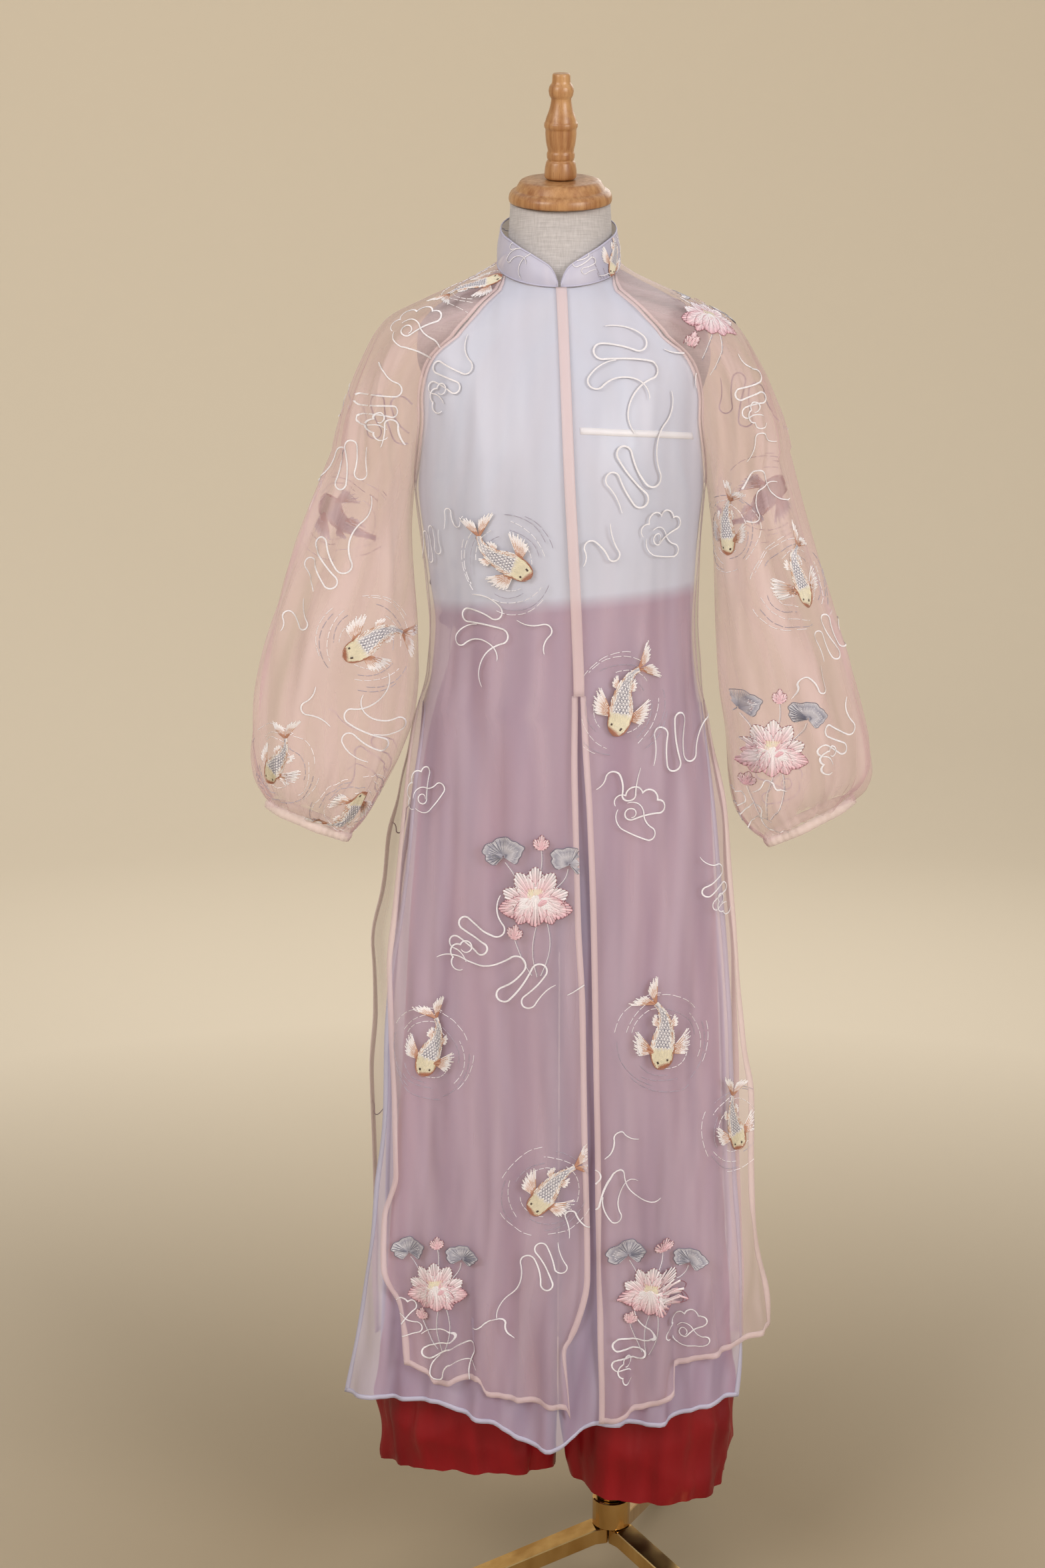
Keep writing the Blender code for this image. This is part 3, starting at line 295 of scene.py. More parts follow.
TROUSERS_LEFT = Table(
    "level outer inner front back open",
    (1.306, 0.1565, 0.0183, 0.099, 0.09, 1.0),
    (1.25, 0.159, 0.0128, 0.104, 0.096, 1.0),
    (1.2, 0.166, 0.0108, 0.106, 0.099, 1.0),
    (1.12, 0.181, 0.0093, 0.104, 0.1, 1.0),
    (1.03, 0.188, 0.0068, 0.1, 0.096, 0.92),
    (0.99, 0.19, 0.0046, 0.097, 0.092, 0.55),
    (0.96, 0.192, 0.0023, 0.095, 0.089, 0.0),
    (0.8, 0.199, 0.0027, 0.09, 0.086, 0.0),
    (0.6, 0.207, 0.0027, 0.088, 0.086, 0.0),
    (0.4, 0.216, 0.0023, 0.091, 0.086, 0.0),
    (0.29, 0.223, 0.0023, 0.095, 0.086, 0.0),
    (0.205, 0.215, 0.013, 0.09, 0.08, 0.0),
)

# Hems of the right (-1) and left (1) leg: height midway, and how much higher the outer end and the front are
LEG_HEMS = {
    -1: dict(middle=0.213, outer=0.007, front=0.022),
    1: dict(middle=0.21, outer=-0.005, front=-0.012),
}
LEG_HEM_BLEND = 0.36
TROUSER_FOLDS = (
    (-2.05, 0.25, 0.005, 0.35),
    (-1.1, 0.2, 0.0075, 0.55),
    (-0.5, 0.22, 0.006, 0.2),
    (0.6, 0.24, 0.006, 0.4),
    (1.4, 0.22, 0.007, 0.25),
    (2.2, 0.24, 0.005, 0.5),
)
TROUSERS_TOP = 1.306
CROTCH = 0.960

# Collar: how high it stands at each angle from the front. Its ends round down to a notch.
COLLAR = Table(
    "angle height",
    (1.2, 0.006),
    (4.0, 0.015),
    (9.0, 0.0235),
    (16.0, 0.0285),
    (33.0, 0.036),
    (62.0, 0.0415),
    (180.0, 0.04),
)
COLLAR_SLOPE = 0.10
COLLAR_BOW = 0.0022
COLLAR_REST = 0.0005

PLACKET_HALF_WIDTH = 0.0062
PLACKET_PROUD = CLOTH + 0.0007
PLACKET_LOWERED = 0.0024

# The dress form, from its rounded underside to the neck.
FORM = Table(
    "level half front back tilt",
    (1.03, 0.062, 0.045, 0.045, 0.0),
    (1.036, 0.112, 0.07, 0.072, 0.0),
    (1.055, 0.138, 0.083, 0.08, 0.0),
    (1.1, 0.146, 0.09, 0.086, 0.0),
    (1.16, 0.14, 0.091, 0.085, 0.0),
    (1.24, 0.132, 0.093, 0.085, 0.0),
    (1.306, 0.1345, 0.0962, 0.0825, 0.0),
    (1.334, 0.1348, 0.0962, 0.0825, 0.0),
    (1.4, 0.141, 0.108, 0.088, 0.0),
    (1.46, 0.148, 0.119, 0.091, 0.0),
    (1.52, 0.152, 0.109, 0.094, 0.0),
    (1.57, 0.162, 0.098, 0.095, 0.001),
    (1.61, 0.173, 0.088, 0.091, 0.004),
    (1.64, 0.17, 0.08, 0.085, 0.008),
    (1.6625, 0.153, 0.0775, 0.0795, 0.0125),
    (1.6825, 0.119, 0.0745, 0.074, 0.0175),
    (1.6972, 0.086, 0.0705, 0.0657, 0.0225),
    (1.709, 0.065, 0.0605, 0.053, 0.024),
    (1.75, 0.06, 0.0535, 0.0495, 0.017),
    (1.784, 0.058, 0.0505, 0.0505, 0.0135),
)
NECK_TOP = 1.784

# Turned wood, as radius and height above its own foot, top to bottom down the outer side.
CAP_PROFILE = (
    (0.0, 0.026),
    (0.043, 0.026),
    (0.0468, 0.024),
    (0.0508, 0.0172),
    (0.052, 0.015),
    (0.0565, 0.0135),
    (0.0592, 0.0095),
    (0.06, 0.004),
    (0.0585, 0.0),
    (0.0, 0.0),
)
FINIAL_PROFILE = (
    (0.0, 0.117),
    (0.0088, 0.117),
    (0.0102, 0.1155),
    (0.0104, 0.1065),
    (0.0134, 0.103),
    (0.0144, 0.098),
    (0.0134, 0.0925),
    (0.0114, 0.0895),
    (0.0116, 0.0855),
    (0.0136, 0.0765),
    (0.0167, 0.069),
    (0.0178, 0.0645),
    (0.0192, 0.0622),
    (0.0192, 0.0585),
    (0.0176, 0.0558),
    (0.0179, 0.0505),
    (0.0167, 0.0395),
    (0.0147, 0.032),
    (0.016, 0.0292),
    (0.016, 0.0243),
    (0.0147, 0.0216),
    (0.0167, 0.0194),
    (0.0184, 0.0108),
    (0.0186, 0.0),
    (0.0, 0.0),
)


def colour(red, green, blue):
    """A colour as it looks on a screen, 0 to 255, for a shader."""
    return tuple(float((c / 255.0) ** 2.2) for c in (red, green, blue)) + (1.0,)


WAISTBAND_HEIGHT = 0.026

# The neck frame's place in the part's frame, from the hub, which stands on the leaning pole's line
hub_low, hub_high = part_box("hub")
SHIFT = np.array([(hub_low.x + hub_high.x) / 2 - LEAN * (NECK - HUB_TOP), (hub_low.y + hub_high.y) / 2, 0.0])

# The photograph's camera, in the neck frame
CAMERA_PLACE = (-0.0438, -2.60, 1.60)
CAMERA_DOWN = 10.9
CAMERA_LENS = 50.0
CAMERA_SENSOR = 36.0

# Creases of all cloth as (how far apart, slant), and how high they are on each robe. They are calm
# near the neck, grow down the robe, and are loosest near its hem.
CREASES = ((0.061, 0.9), (0.043, -1.3), (0.029, 2.1), (0.018, -3.0))
CRUMPLE_OUTER = 0.0020
CRUMPLE_INNER = 0.0012
CREASE_PHASES = (1.7, 2.1)
CREASE_DRIFT = 0.35
CREASE_DRIFT_TURNS = 9.0
FOLD_GROWTH = 1.3
FOLD_GROWTH_RUN = 0.4
CALM = 0.35
CALM_LENGTH = 0.9
HEM_LOOSE = 1.2
HEM_LOOSE_TOP = 0.50
HEM_LOOSE_BLEND = 0.16

# Sleeves: rows and columns of the grid, creases, and the gathers towards the cuff
SLEEVE_ROWS = 96
SLEEVE_COLUMNS = GATHERS * 18 + 1
SLEEVE_PACKING = 0.9
SLEEVE_CRUMPLE = 0.0026
SLEEVE_RADIUS = 0.075
SLEEVE_SEED = 2.3
# The run goes on above the underarm (0) to the neck. The creases begin there and grow over a length of it.
HEAD_TOP = -0.6
CREASE_START = -0.55
CREASE_GROWTH = 0.5
GATHER_START = 0.72
GATHER_GROWTH = 0.2
FINE_GATHERS = 35
FINE_GATHER_GROWTH = 0.25
FINE_GATHER_RISE = 0.0016
HEAD_BLEND = 0.06
CUFF_SWELL = 0.0012
CUFF_GATHER_RISE = 0.0006

# Trousers: soft creases on the lower legs, and slanted puckers near the hem
LEG_COLUMNS = 121
LEG_CRUMPLE = 0.0036
LEG_RADIUS = 0.09
LEG_CREASE_TOP = 0.80
LEG_CREASE_BLEND = 0.42
PUCKER = 0.0042
PUCKER_TOP = 0.42
PUCKER_BLEND = 0.14
PUCKER_MEAN = 0.6
LEG_SEED = (4.1, 0.4)
WAIST_SLOPE = 0.07
WAIST_SLOPE_LOW = 1.15

# Folded bands: how wide they are, how proud of the cloth, and how much thicker in their middle
ROW, COLUMN = 0, 1
OUTER_HEM = 0.0074
INNER_HEM = 0.0060
SEAM_WIDTH = 0.0045
SIDE_SEAM_WIDTH = SEAM_WIDTH * 0.6
BAND_RISE = 0.0005
BAND_THICK = 0.0002
COLLAR_EDGES = ((ROW, False, 0.0022), (ROW, True, 0.0016), (COLUMN, False, 0.0020), (COLUMN, True, 0.0020))
COLLAR_EDGE_RISE = 0.0006
TUCK_ENDS = ((0.022, 1.533), (0.152, 1.523))
TUCK_WIDTH = 0.0080
# How far apart the under robe's rows are at the chest
ROW_STEP = 0.0076

# The placket's section as (share of its half width, how proud), and how deep its back lies
PLACKET_SECTION = (
    (-1.0, -0.0009),
    (-0.92, 0.0),
    (-0.4, 0.0002),
    (0.0, 0.0003),
    (0.4, 0.0002),
    (0.92, 0.0),
    (1.0, -0.0009),
)
PLACKET_BACK = 0.0010

# The form's cover, and the eased corners of turned wood
FORM_INSET = 0.0010
FORM_ROWS = 150
FORM_COLUMNS = 96
CORNER_CUTS = 2
CORNER_SHARE = 0.2
WOOD_GAP = 0.0003
CAP_GAP = 0.0004
# The heights between which the cloth over the form takes its own tone: a lighter one, painted light for the
# stronger light on the chest
CHEST_LIGHT_BLEND = (1.322, 1.340)

# Threads, and how wide, long and high their stitches are
THREAD_TONES = {
    "cream": (250, 244, 240),
    "white": (254, 250, 252),
    "straw": (240, 230, 202),
    "ochre": (208, 164, 138),
    "brown": (178, 118, 92),
    "pearl": (228, 222, 224),
    "silver": (202, 198, 204),
    "slate": (158, 156, 170),
    "steel": (124, 124, 140),
    "mist": (176, 168, 182),
    "ink": (70, 52, 46),
    "rose": (236, 184, 194),
    "wine": (152, 98, 108),
    "blush": (248, 224, 228),
}
THREADS = {name: colour(*tone)[:3] for name, tone in THREAD_TONES.items()}
THREAD_WIDTH = 0.00085
STITCH_STEP = 0.00075
CLOUD_SCALE = 1.5
STITCH_FOOT = 0.0002
STITCH_RISE = 0.0007
STITCH_LIFT = 0.0011

# Carp: its length, the bend and seed of each, and its rows of stitches and half width in lengths
KOI_LENGTH = 0.080
KOI_SHAPES = {"koi_a": (0.75, 11), "koi_b": (-0.65, 12), "koi_c": (0.45, 13)}
KOI_POINTS = 60
KOI_MIDDLE = 24
KOI_ROW = 0.016
KOI_ACROSS = 0.0125
KOI_STITCH = 0.046
KOI_HEAD = 0.24
KOI_BACK = 0.60
KOI_BODY = Table(
    "s half",
    (0.00, 0.030),
    (0.03, 0.090),
    (0.08, 0.130),
    (0.15, 0.152),
    (0.28, 0.164),
    (0.42, 0.150),
    (0.60, 0.106),
    (0.80, 0.058),
    (0.92, 0.032),
    (1.00, 0.036),
)

# Fins and tail as (place along the body, off its middle, reach, heading, spread, rays, the side that leads)
KOI_FINS = (
    (0.98, 0.00, 0.40, 27, 17, 13, 1),
    (0.24, 0.09, 0.44, 66, 27, 18, -1),
    (0.62, 0.06, 0.20, 48, 26, 10, -1),
)
# Scales, in lengths but for the widths of their two threads, and the rings of ripples
SCALE_STEP = 0.046
SCALE_LENGTH = 0.028
SCALE_HALF = 0.021
SCALE_EDGE = 0.0006
SCALE_STITCH = 0.0019
RIPPLES = (0.40, 0.50, 0.60, 0.69, 0.74)
# Rays as (start, end, two tones), in shares of the way out
FIN_RAYS = ((0.04, 0.42, "brown", "ochre"), (0.36, 0.72, "ochre", "white"), (0.66, 1.0, "white", "cream"))
LEAF_RAYS = ((0.05, 0.50, "slate", "silver"), (0.46, 0.80, "silver", "slate"), (0.76, 1.0, "slate", "silver"))
LEAF_VEINS = ((0, 0.50, "white"), (1, 0.12, "steel"), (2, 0.66, "white"))
PETAL_RAYS = ((0.03, 0.40), (0.36, 0.72), (0.68, 1.0))
PETAL_SHADE = 0.80
# How wide the stitches are
FIN_STITCH = 0.0012
EDGE_STITCH = 0.0009
FINE_STITCH = 0.0008
LEAF_STITCH = 0.0017

# Lotus: petals as (x, y, heading, length, width, tones), in the order they are laid
LOTUS_PETALS = (
    (0.000, 0.002, 90, 0.039, 0.021, "pale"),
    (0.000, 0.002, 58, 0.038, 0.021, "pale"),
    (0.000, 0.002, 122, 0.038, 0.021, "pale"),
    (0.000, -0.002, 24, 0.038, 0.022, "pale"),
    (0.000, -0.002, 156, 0.038, 0.022, "pale"),
    (0.004, -0.002, -8, 0.036, 0.021, "warm"),
    (-0.004, -0.002, 188, 0.036, 0.021, "warm"),
)
LOTUS_FRONT = (
    (0.007, 0.006, -36, 0.032, 0.023, "warm"),
    (-0.007, 0.006, 216, 0.032, 0.023, "warm"),
    (0.007, 0.007, -68, 0.031, 0.020, "warm"),
    (-0.007, 0.007, 248, 0.031, 0.020, "warm"),
    (0.000, 0.010, -90, 0.034, 0.026, "warm"),
)
# Leaves as (x, y, width, height, turn), buds as (x, y, heading) and stems as (start, end, bow)
LOTUS_LEAVES = ((-0.036, 0.058, 0.044, 0.030, 8.0), (0.038, 0.050, 0.042, 0.027, -12.0))
LOTUS_BUDS = ((0.006, 0.062, 86.0), (-0.024, -0.040, 80.0))
LOTUS_STEMS = (
    ((-0.034, 0.046), (-0.018, 0.016), 0.003),
    ((0.006, 0.064), (0.004, 0.030), 0.002),
    ((0.036, 0.040), (0.020, 0.016), 0.004),
    ((-0.024, -0.038), (-0.004, -0.082), -0.002),
    ((0.002, -0.022), (0.002, -0.084), -0.005),
    ((0.012, -0.018), (0.006, -0.083), 0.007),
)

# Clouds: each line's start in mm, heading and width, then its arcs as length in mm and turn in degrees
CLOUDS = {
    "stream": (
        (0, 0, 175, 0.0022, "24 30, 21 -205, 24 20, 21 190, 34 -20, 21 -200, 26 30, 22 165, 40 -70, 26 60"),
        (4, -12, -15, 0.0019, "22 30, 16 -190, 16 30, 14 150, 12 -60"),
    ),
    "puff": (
        (0, 0, 120, 0.0022, "18 -150, 0 118, 24 -165, 0 125, 22 -150, 0 112, 20 -190, 26 20, 20 -215, 12 -160"),
        (2, -3, -120, 0.0019, "22 90, 24 10, 18 170, 16 -60, 22 110"),
    ),
    "wisp": (
        (0, 0, 15, 0.0022, "30 -50, 20 -165, 26 25, 20 185, 36 -15, 18 -150, 34 60, 18 50"),
        (8, -26, -170, 0.0019, "26 50, 18 170, 30 -70, 18 -70"),
        (46, -14, -20, 0.0018, "24 45, 16 -150, 18 60"),
    ),
    "twin": (
        (0, 0, 95, 0.0022, "16 60, 18 -195, 20 -15, 18 195, 22 0, 18 -190, 24 10, 18 160, 26 -70"),
        (-4, -6, 200, 0.0019, "18 -160, 0 90, 18 -160, 0 95, 16 -190, 10 -120"),
    ),
}

# Where each motif lies: kind, x, z, the side it is on, its turn in degrees and its size
FRONT, BACK = -1, 1
PLACES = {
    "robe_front_right": (
        ("koi_a", -0.063, 1.381, FRONT, -62, 1.0),
        ("koi_b", -0.152, 0.792, FRONT, -80, 0.95),
        ("koi_c", -0.013, 0.627, FRONT, 212, 1.0),
        ("lotus", -0.030, 0.982, FRONT, 0, 1.05),
        ("lotus", -0.150, 0.493, FRONT, 4, 0.90),
        ("wisp", -0.075, 1.280, FRONT, -10, 0.85),
        ("twin", -0.129, 1.587, FRONT, 20, 0.85),
        ("puff", -0.158, 1.110, FRONT, 80, 0.75),
        ("twin", -0.096, 0.941, FRONT, 10, 0.95),
        ("stream", -0.040, 0.885, FRONT, 35, 0.95),
        ("stream", -0.018, 0.540, FRONT, 100, 0.80),
        ("puff", -0.190, 0.454, FRONT, 40, 0.70),
        ("wisp", -0.104, 0.412, FRONT, 30, 0.80),
        ("stream", -0.150, 1.400, FRONT, 80, 0.60),
    ),
    "robe_front_left": (
        ("koi_a", 0.071, 1.214, FRONT, -138, 1.05),
        ("koi_b", 0.122, 0.814, FRONT, -62, 1.05),
        ("koi_c", 0.214, 0.690, FRONT, -96, 0.90),
        ("lotus", 0.113, 0.492, FRONT, -6, 0.92),
        ("wisp", 0.098, 1.585, FRONT, -6, 1.0),
        ("stream", 0.080, 1.470, FRONT, -70, 1.0),
        ("puff", 0.118, 1.405, FRONT, 20, 0.80),
        ("stream", 0.135, 1.160, FRONT, -105, 0.95),
        ("puff", 0.092, 1.090, FRONT, 0, 0.85),
        ("twin", 0.186, 0.989, FRONT, 70, 0.75),
        ("twin", 0.088, 0.430, FRONT, 35, 0.90),
        ("puff", 0.160, 0.445, FRONT, 30, 0.70),
        ("wisp", 0.080, 0.640, FRONT, 70, 0.80),
    ),
    "robe_back": (
        ("koi_a", -0.080, 1.480, BACK, 150, 1.0),
        ("koi_b", 0.085, 1.330, BACK, -60, 1.0),
        ("koi_c", -0.060, 1.120, BACK, 95, 1.0),
        ("koi_a", 0.125, 0.930, BACK, -115, 1.0),
        ("koi_b", -0.135, 0.760, BACK, 30, 1.0),
        ("koi_c", 0.055, 0.600, BACK, 190, 1.0),
        ("koi_a", -0.150, 0.470, BACK, -70, 0.95),
        ("lotus", 0.000, 0.880, BACK, 0, 1.05),
        ("lotus", 0.100, 1.560, BACK, 6, 0.90),
        ("lotus", -0.120, 1.300, BACK, 0, 0.85),
        ("lotus", 0.150, 0.480, BACK, -4, 0.95),
        ("lotus", -0.040, 0.440, BACK, 4, 0.90),
        ("stream", 0.000, 1.600, BACK, -80, 0.95),
        ("wisp", 0.000, 1.420, BACK, 0, 0.95),
        ("puff", -0.090, 1.200, BACK, 20, 0.85),
        ("twin", 0.110, 1.180, BACK, 60, 0.90),
        ("stream", -0.140, 1.000, BACK, 80, 0.90),
        ("wisp", 0.060, 1.030, BACK, 20, 0.90),
        ("puff", 0.180, 0.780, BACK, 10, 0.80),
        ("twin", -0.050, 0.720, BACK, 30, 0.90),
        ("stream", -0.190, 0.600, BACK, 100, 0.80),
        ("wisp", 0.120, 0.400, BACK, 0, 0.80),
        ("puff", -0.110, 0.380, BACK, 20, 0.70),
    ),
    "sleeve_right": (
        ("koi_a", -0.225, 1.281, FRONT, 176, 1.0),
        ("koi_b", -0.338, 1.134, FRONT, -100, 0.85),
        ("koi_c", -0.246, 1.076, FRONT, 48, 0.85),
        ("koi_b", -0.093, 1.690, FRONT, 62, 0.85),
        ("stream", -0.244, 1.489, FRONT, 75, 0.80),
        ("stream", -0.273, 1.372, FRONT, -75, 0.85),
        ("wisp", -0.238, 1.205, FRONT, 150, 0.85),
        ("puff", -0.165, 1.640, FRONT, 20, 0.85),
        ("twin", -0.205, 1.560, FRONT, 40, 0.80),
        ("koi_c", -0.270, 1.420, BACK, 20, 1.0),
        ("stream", -0.210, 1.540, BACK, 60, 0.90),
        ("wisp", -0.250, 1.120, BACK, 20, 0.80),
    ),
    "sleeve_left": (
        ("koi_a", 0.280, 1.350, FRONT, -112, 0.95),
        ("koi_c", 0.196, 1.407, FRONT, -108, 0.80),
        ("lotus", 0.252, 1.150, FRONT, 0, 1.0),
        ("lotus", 0.170, 1.652, FRONT, -20, 0.85),
        ("twin", 0.219, 1.569, FRONT, 60, 0.80),
        ("stream", 0.318, 1.282, FRONT, -80, 0.75),
        ("twin", 0.325, 1.170, FRONT, 20, 0.85),
        ("wisp", 0.240, 1.072, FRONT, 40, 0.70),
        ("wisp", 0.235, 1.470, FRONT, 70, 0.70),
        ("koi_b", 0.250, 1.440, BACK, 160, 1.0),
        ("stream", 0.220, 1.560, BACK, 80, 0.90),
        ("puff", 0.270, 1.090, BACK, 10, 0.80),
        ("koi_a", 0.130, 1.660, BACK, 30, 0.80),
    ),
    "collar": (
        ("koi_b", 0.060, 1.718, FRONT, -80, 0.60),
        ("wisp", -0.040, 1.722, FRONT, 0, 0.40),
        ("stream", 0.028, 1.714, FRONT, 10, 0.40),
        ("puff", 0.050, 1.735, BACK, 0, 0.45),
        ("wisp", -0.050, 1.735, BACK, 0, 0.45),
    ),
}

# Sheer cloths: name, light and deep tone, opacity, roughness, the tone and opacity over the chest if it has
# its own (a lighter tone there, painted light for the stronger light on the chest), and how much the opacity
# changes along the cloth
SHEER_CLOTHS = (
    ("pink_organza_cloth", (232, 202, 210), (218, 184, 194), 0.29, 0.45, ((240, 224, 230), 0.19), 0.06),
    ("pink_organza_sleeve", (236, 204, 206), (228, 184, 188), 0.31, 0.45, None, 0.14),
    ("pink_organza_folded", (252, 230, 228), (250, 222, 222), 0.40, 0.45, None, 0.0),
    ("lilac_organza_cloth", (216, 206, 232), (202, 190, 222), 0.50, 0.36, ((218, 225, 242), 0.76), 0.06),
    ("lilac_organza_folded", (220, 216, 236), (208, 206, 230), 0.66, 0.36, None, 0.0),
    ("white_organza_tuck", (254, 254, 255), (250, 250, 254), 0.85, 0.36, None, 0.0),
)

# Studio
WALL_TONE = colour(231, 217, 194)
# The floor is darker near the stand, a painted shadow, and takes the wall's tone from the first distance of its
# blend to the last
FLOOR_SHADOW_TONE = colour(168, 151, 125)
FLOOR_SHADOW_BLEND = (0.4, 2.6)
FLOOR_FLAT = 4.6
FLOOR_DROP = -0.0005
COVE = 3.0
WALL_TOP = 7.0
STUDIO_SIDES = 96
AIR_TONE = (0.95, 0.97, 1.0, 1.0)
AIR_STRENGTH = 0.53
# Lamps as (name, place, target, size, power, tone)
LIGHTS = (
    ("key", (-2.4, -3.0, 3.0), (0.0, 0.0, 1.0), (1.8, 1.8), 78.0, (1.0, 0.98, 0.98)),
    ("fill", (2.6, -3.2, 2.4), (0.0, 0.0, 0.9), (1.8, 1.8), 90.0, (1.0, 0.98, 0.98)),
    ("rim", (1.5, 3.2, 3.4), (0.0, 0.0, 1.1), (2.5, 1.5), 30.0, (1.0, 1.0, 1.0)),
    ("wash", (-0.9, 1.9, 3.9), (-1.2, 7.0, 2.0), (3.0, 1.5), 66.0, (1.0, 0.99, 0.97)),
)
LIGHT_PATHS = {
    "transparent_max_bounces": 16,
    "max_bounces": 4,
    "diffuse_bounces": 2,
    "glossy_bounces": 2,
    "caustics_reflective": False,
}


def smoothstep(value):
    value = np.clip(value, 0.0, 1.0)
    return value * value * (3 - 2 * value)


def unit(vectors):
    return vectors / np.maximum(np.linalg.norm(vectors, axis=-1, keepdims=True), 1e-12)


# Surfaces of the robes


def ring_point(angle, level):
    """A point of the base surface. Angle 0 is the front, +90 the wearer's left and 180 the back."""
    front = BODY.read("front", level)
    back = BODY.read("back", level)
    depth = np.where(np.cos(angle) > 0, front, back)
    x = BODY.read("middle", level) + BODY.read("half", level) * np.sin(angle)
    y = -depth * np.cos(angle)
    z = level - BODY.read("tilt", level) * np.cos(angle)
    return np.stack([x, y, z], axis=-1)


def folds_at(points, folds):
    """How far the hanging folds stand out at these points."""
    out = np.zeros(points.shape[:-1])
    x = points[..., 0]
    z = points[..., 2]
    for top, hem, start, width, rise in folds:
        down = np.clip((start - z) / (start - LOWEST_LEVEL), 0.0, 1.0)
        at = top + (hem - top) * down
        out += rise * smoothstep(down * FOLD_GROWTH) * np.exp(-(((x - at) / width) ** 2))
    return out


def normal_of(surface, angle, level):
    """Which way a surface of angle and level faces, from points a hair apart on it."""
    across = surface(angle + HAIR, level) - surface(angle - HAIR, level)
    upward = surface(angle, level + HAIR) - surface(angle, level - HAIR)
    return unit(np.cross(across, upward))


def robe_point(angle, level, ease):
    """The base surface moved out by its folds and by the robe's ease, a function of level."""
    centre = ring_point(angle, level)
    normal = normal_of(ring_point, angle, level)
    folds = np.where(np.cos(angle) > 0, folds_at(centre, FRONT_FOLDS), folds_at(centre, BACK_FOLDS))
    return centre + normal * (ease(level) + folds)[..., None]


def robe_row(angle, level, ease):
    """Points of the robe's outer face, and their normals."""
    normal = normal_of(lambda a, z: robe_point(a, z, ease), angle, level)
    return robe_point(angle, level, ease), normal


def outer_ease(level):
    down = (NECK - level) / (NECK - LOWEST_LEVEL)
    return EASE_AT_NECK + (EASE_AT_HEM - EASE_AT_NECK) * smoothstep(1.6 * down)


def angle_at(x, level):
    """The angle on the ring at this level where the base surface reaches x."""
    share = (x - BODY.read("middle", level)) / BODY.read("half", level)
    return np.arcsin(np.clip(share, -1.0, 1.0))


def side_angle(panel, level):
    """Where a panel ends at its side: at the raglan seam, the side seam, or the slit's free edge."""
    face = "front" if "front" in panel else "back"
    raglan = np.radians(RAGLAN.read(face, level))
    free = np.abs(angle_at(EDGES.read(panel, level), level))
    return np.where(level >= UNDERARM, raglan, np.where(level >= SLIT_TOP, math.pi / 2, free)) - HALF_GAP


def hem_levels(levels, hem):
    """The rows' levels in one column, with those below HEM_BLEND spread down to its hem."""
    share = (HEM_BLEND - hem) / (HEM_BLEND - LOWEST_LEVEL)
    return np.where(levels > HEM_BLEND, levels, HEM_BLEND - (HEM_BLEND - levels) * share)


def front_spans(level):
    return -side_angle("inner_front_right", level), side_angle("inner_front_left", level)


def front_right_spans(level):
    edge = angle_at(CENTRE.read("right", level), level) - HALF_GAP
    return -side_angle("outer_front_right", level), edge


def front_left_spans(level):
    edge = angle_at(CENTRE.read("left", level), level) + HALF_GAP
    return edge, side_angle("outer_front_left", level)


def back_spans(robe):
    """Spans of a back panel, from the left edge round the back to the right."""

    def spans(level):
        left = side_angle(robe + "_back_left", level)
        right = side_angle(robe + "_back_right", level)
        return math.pi - left, math.pi + right

    return spans


def no_ease(level):
    return np.zeros_like(level)


def grid_normals(lines, joined):
    """Normals of rows of points from their neighbours in the grid. A joined row goes on past its ends."""
    grid = np.array(lines)
    across = np.gradient(grid, axis=1)
    for r in joined:
        across[r, 0] = across[r, -1] = (grid[r, 1] - grid[r, -2]) / 2
    return unit(np.cross(across, -np.gradient(grid, axis=0)))


# Loops of the sleeves and legs


def fold_wave(folds, run, columns):
    """How far a loop's folds stand out along it, from -pi at its front end to pi at its back end."""
    turn = np.linspace(-math.pi, math.pi, columns)
    wave = np.zeros(columns)
    for middle, width, rise, start in folds:
        wave += smoothstep((run - start) / FOLD_GROWTH_RUN) * rise * np.exp(-(((turn - middle) / width) ** 2))
    return wave


def loop_line(front, back, outer, depth, columns, wave=0.0):
    """A line of cloth from a front point round an outer point to a back point, which may be the front one."""
    middle = (front + back) / 2
    reach = np.linalg.norm(outer - middle)
    out = (outer - middle) / reach
    gap = (back[1] - front[1]) / 2
    depth = max(depth, gap * 1.001)
    end = math.pi - math.asin(min(1.0, gap / depth))
    turn = np.linspace(-end, end, columns)
    long_half = reach / (1 - math.cos(end))
    centre = outer - long_half * out
    side = np.array([0.0, 1.0, 0.0])
    away = np.outer(np.cos(turn), out) + np.outer(np.sin(turn), side)
    flat = np.outer(np.cos(turn), out * long_half) + np.outer(np.sin(turn), side * depth)
    miss = (front - back) / 2 + gap * side
    return centre + flat + away * np.reshape(wave, (-1, 1)) + np.outer(-turn / end, miss)


def head_line(side, level, columns):
    """A sleeve's line at a level above the underarm, on the robe where it meets the raglan seams."""
    gap = HALF_GAP * (1 + RAGLAN_SLACK * smoothstep(abs(level - RAGLAN_MIDDLE) / RAGLAN_HALF))
    front = math.radians(RAGLAN.read("front", level)) + gap
    back = math.pi - math.radians(RAGLAN.read("back", level)) - gap
    angles = side * np.linspace(front, back, columns)
    on_body = robe_point(angles, np.full(columns, level), outer_ease)
    middle = BODY.read("middle", level)
    outer = np.array([middle + side * SLEEVE_HEAD.read("out", level), 0.0, SLEEVE_HEAD.read("z", level)])
    depth = SLEEVE_HEAD.read("depth", level)
    loop = loop_line(on_body[0], on_body[-1], outer, depth, columns)
    return on_body + (loop - on_body) * smoothstep((NECK - level) / HEAD_BLEND)


def tube_ends(tube, run):
    """The outer and the inner point of a sleeve's loop."""
    names = (("outer_x", "y", "outer_z"), ("inner_x", "y", "inner_z"))
    return [np.array([tube.read(name, run) for name in row]) for row in names]


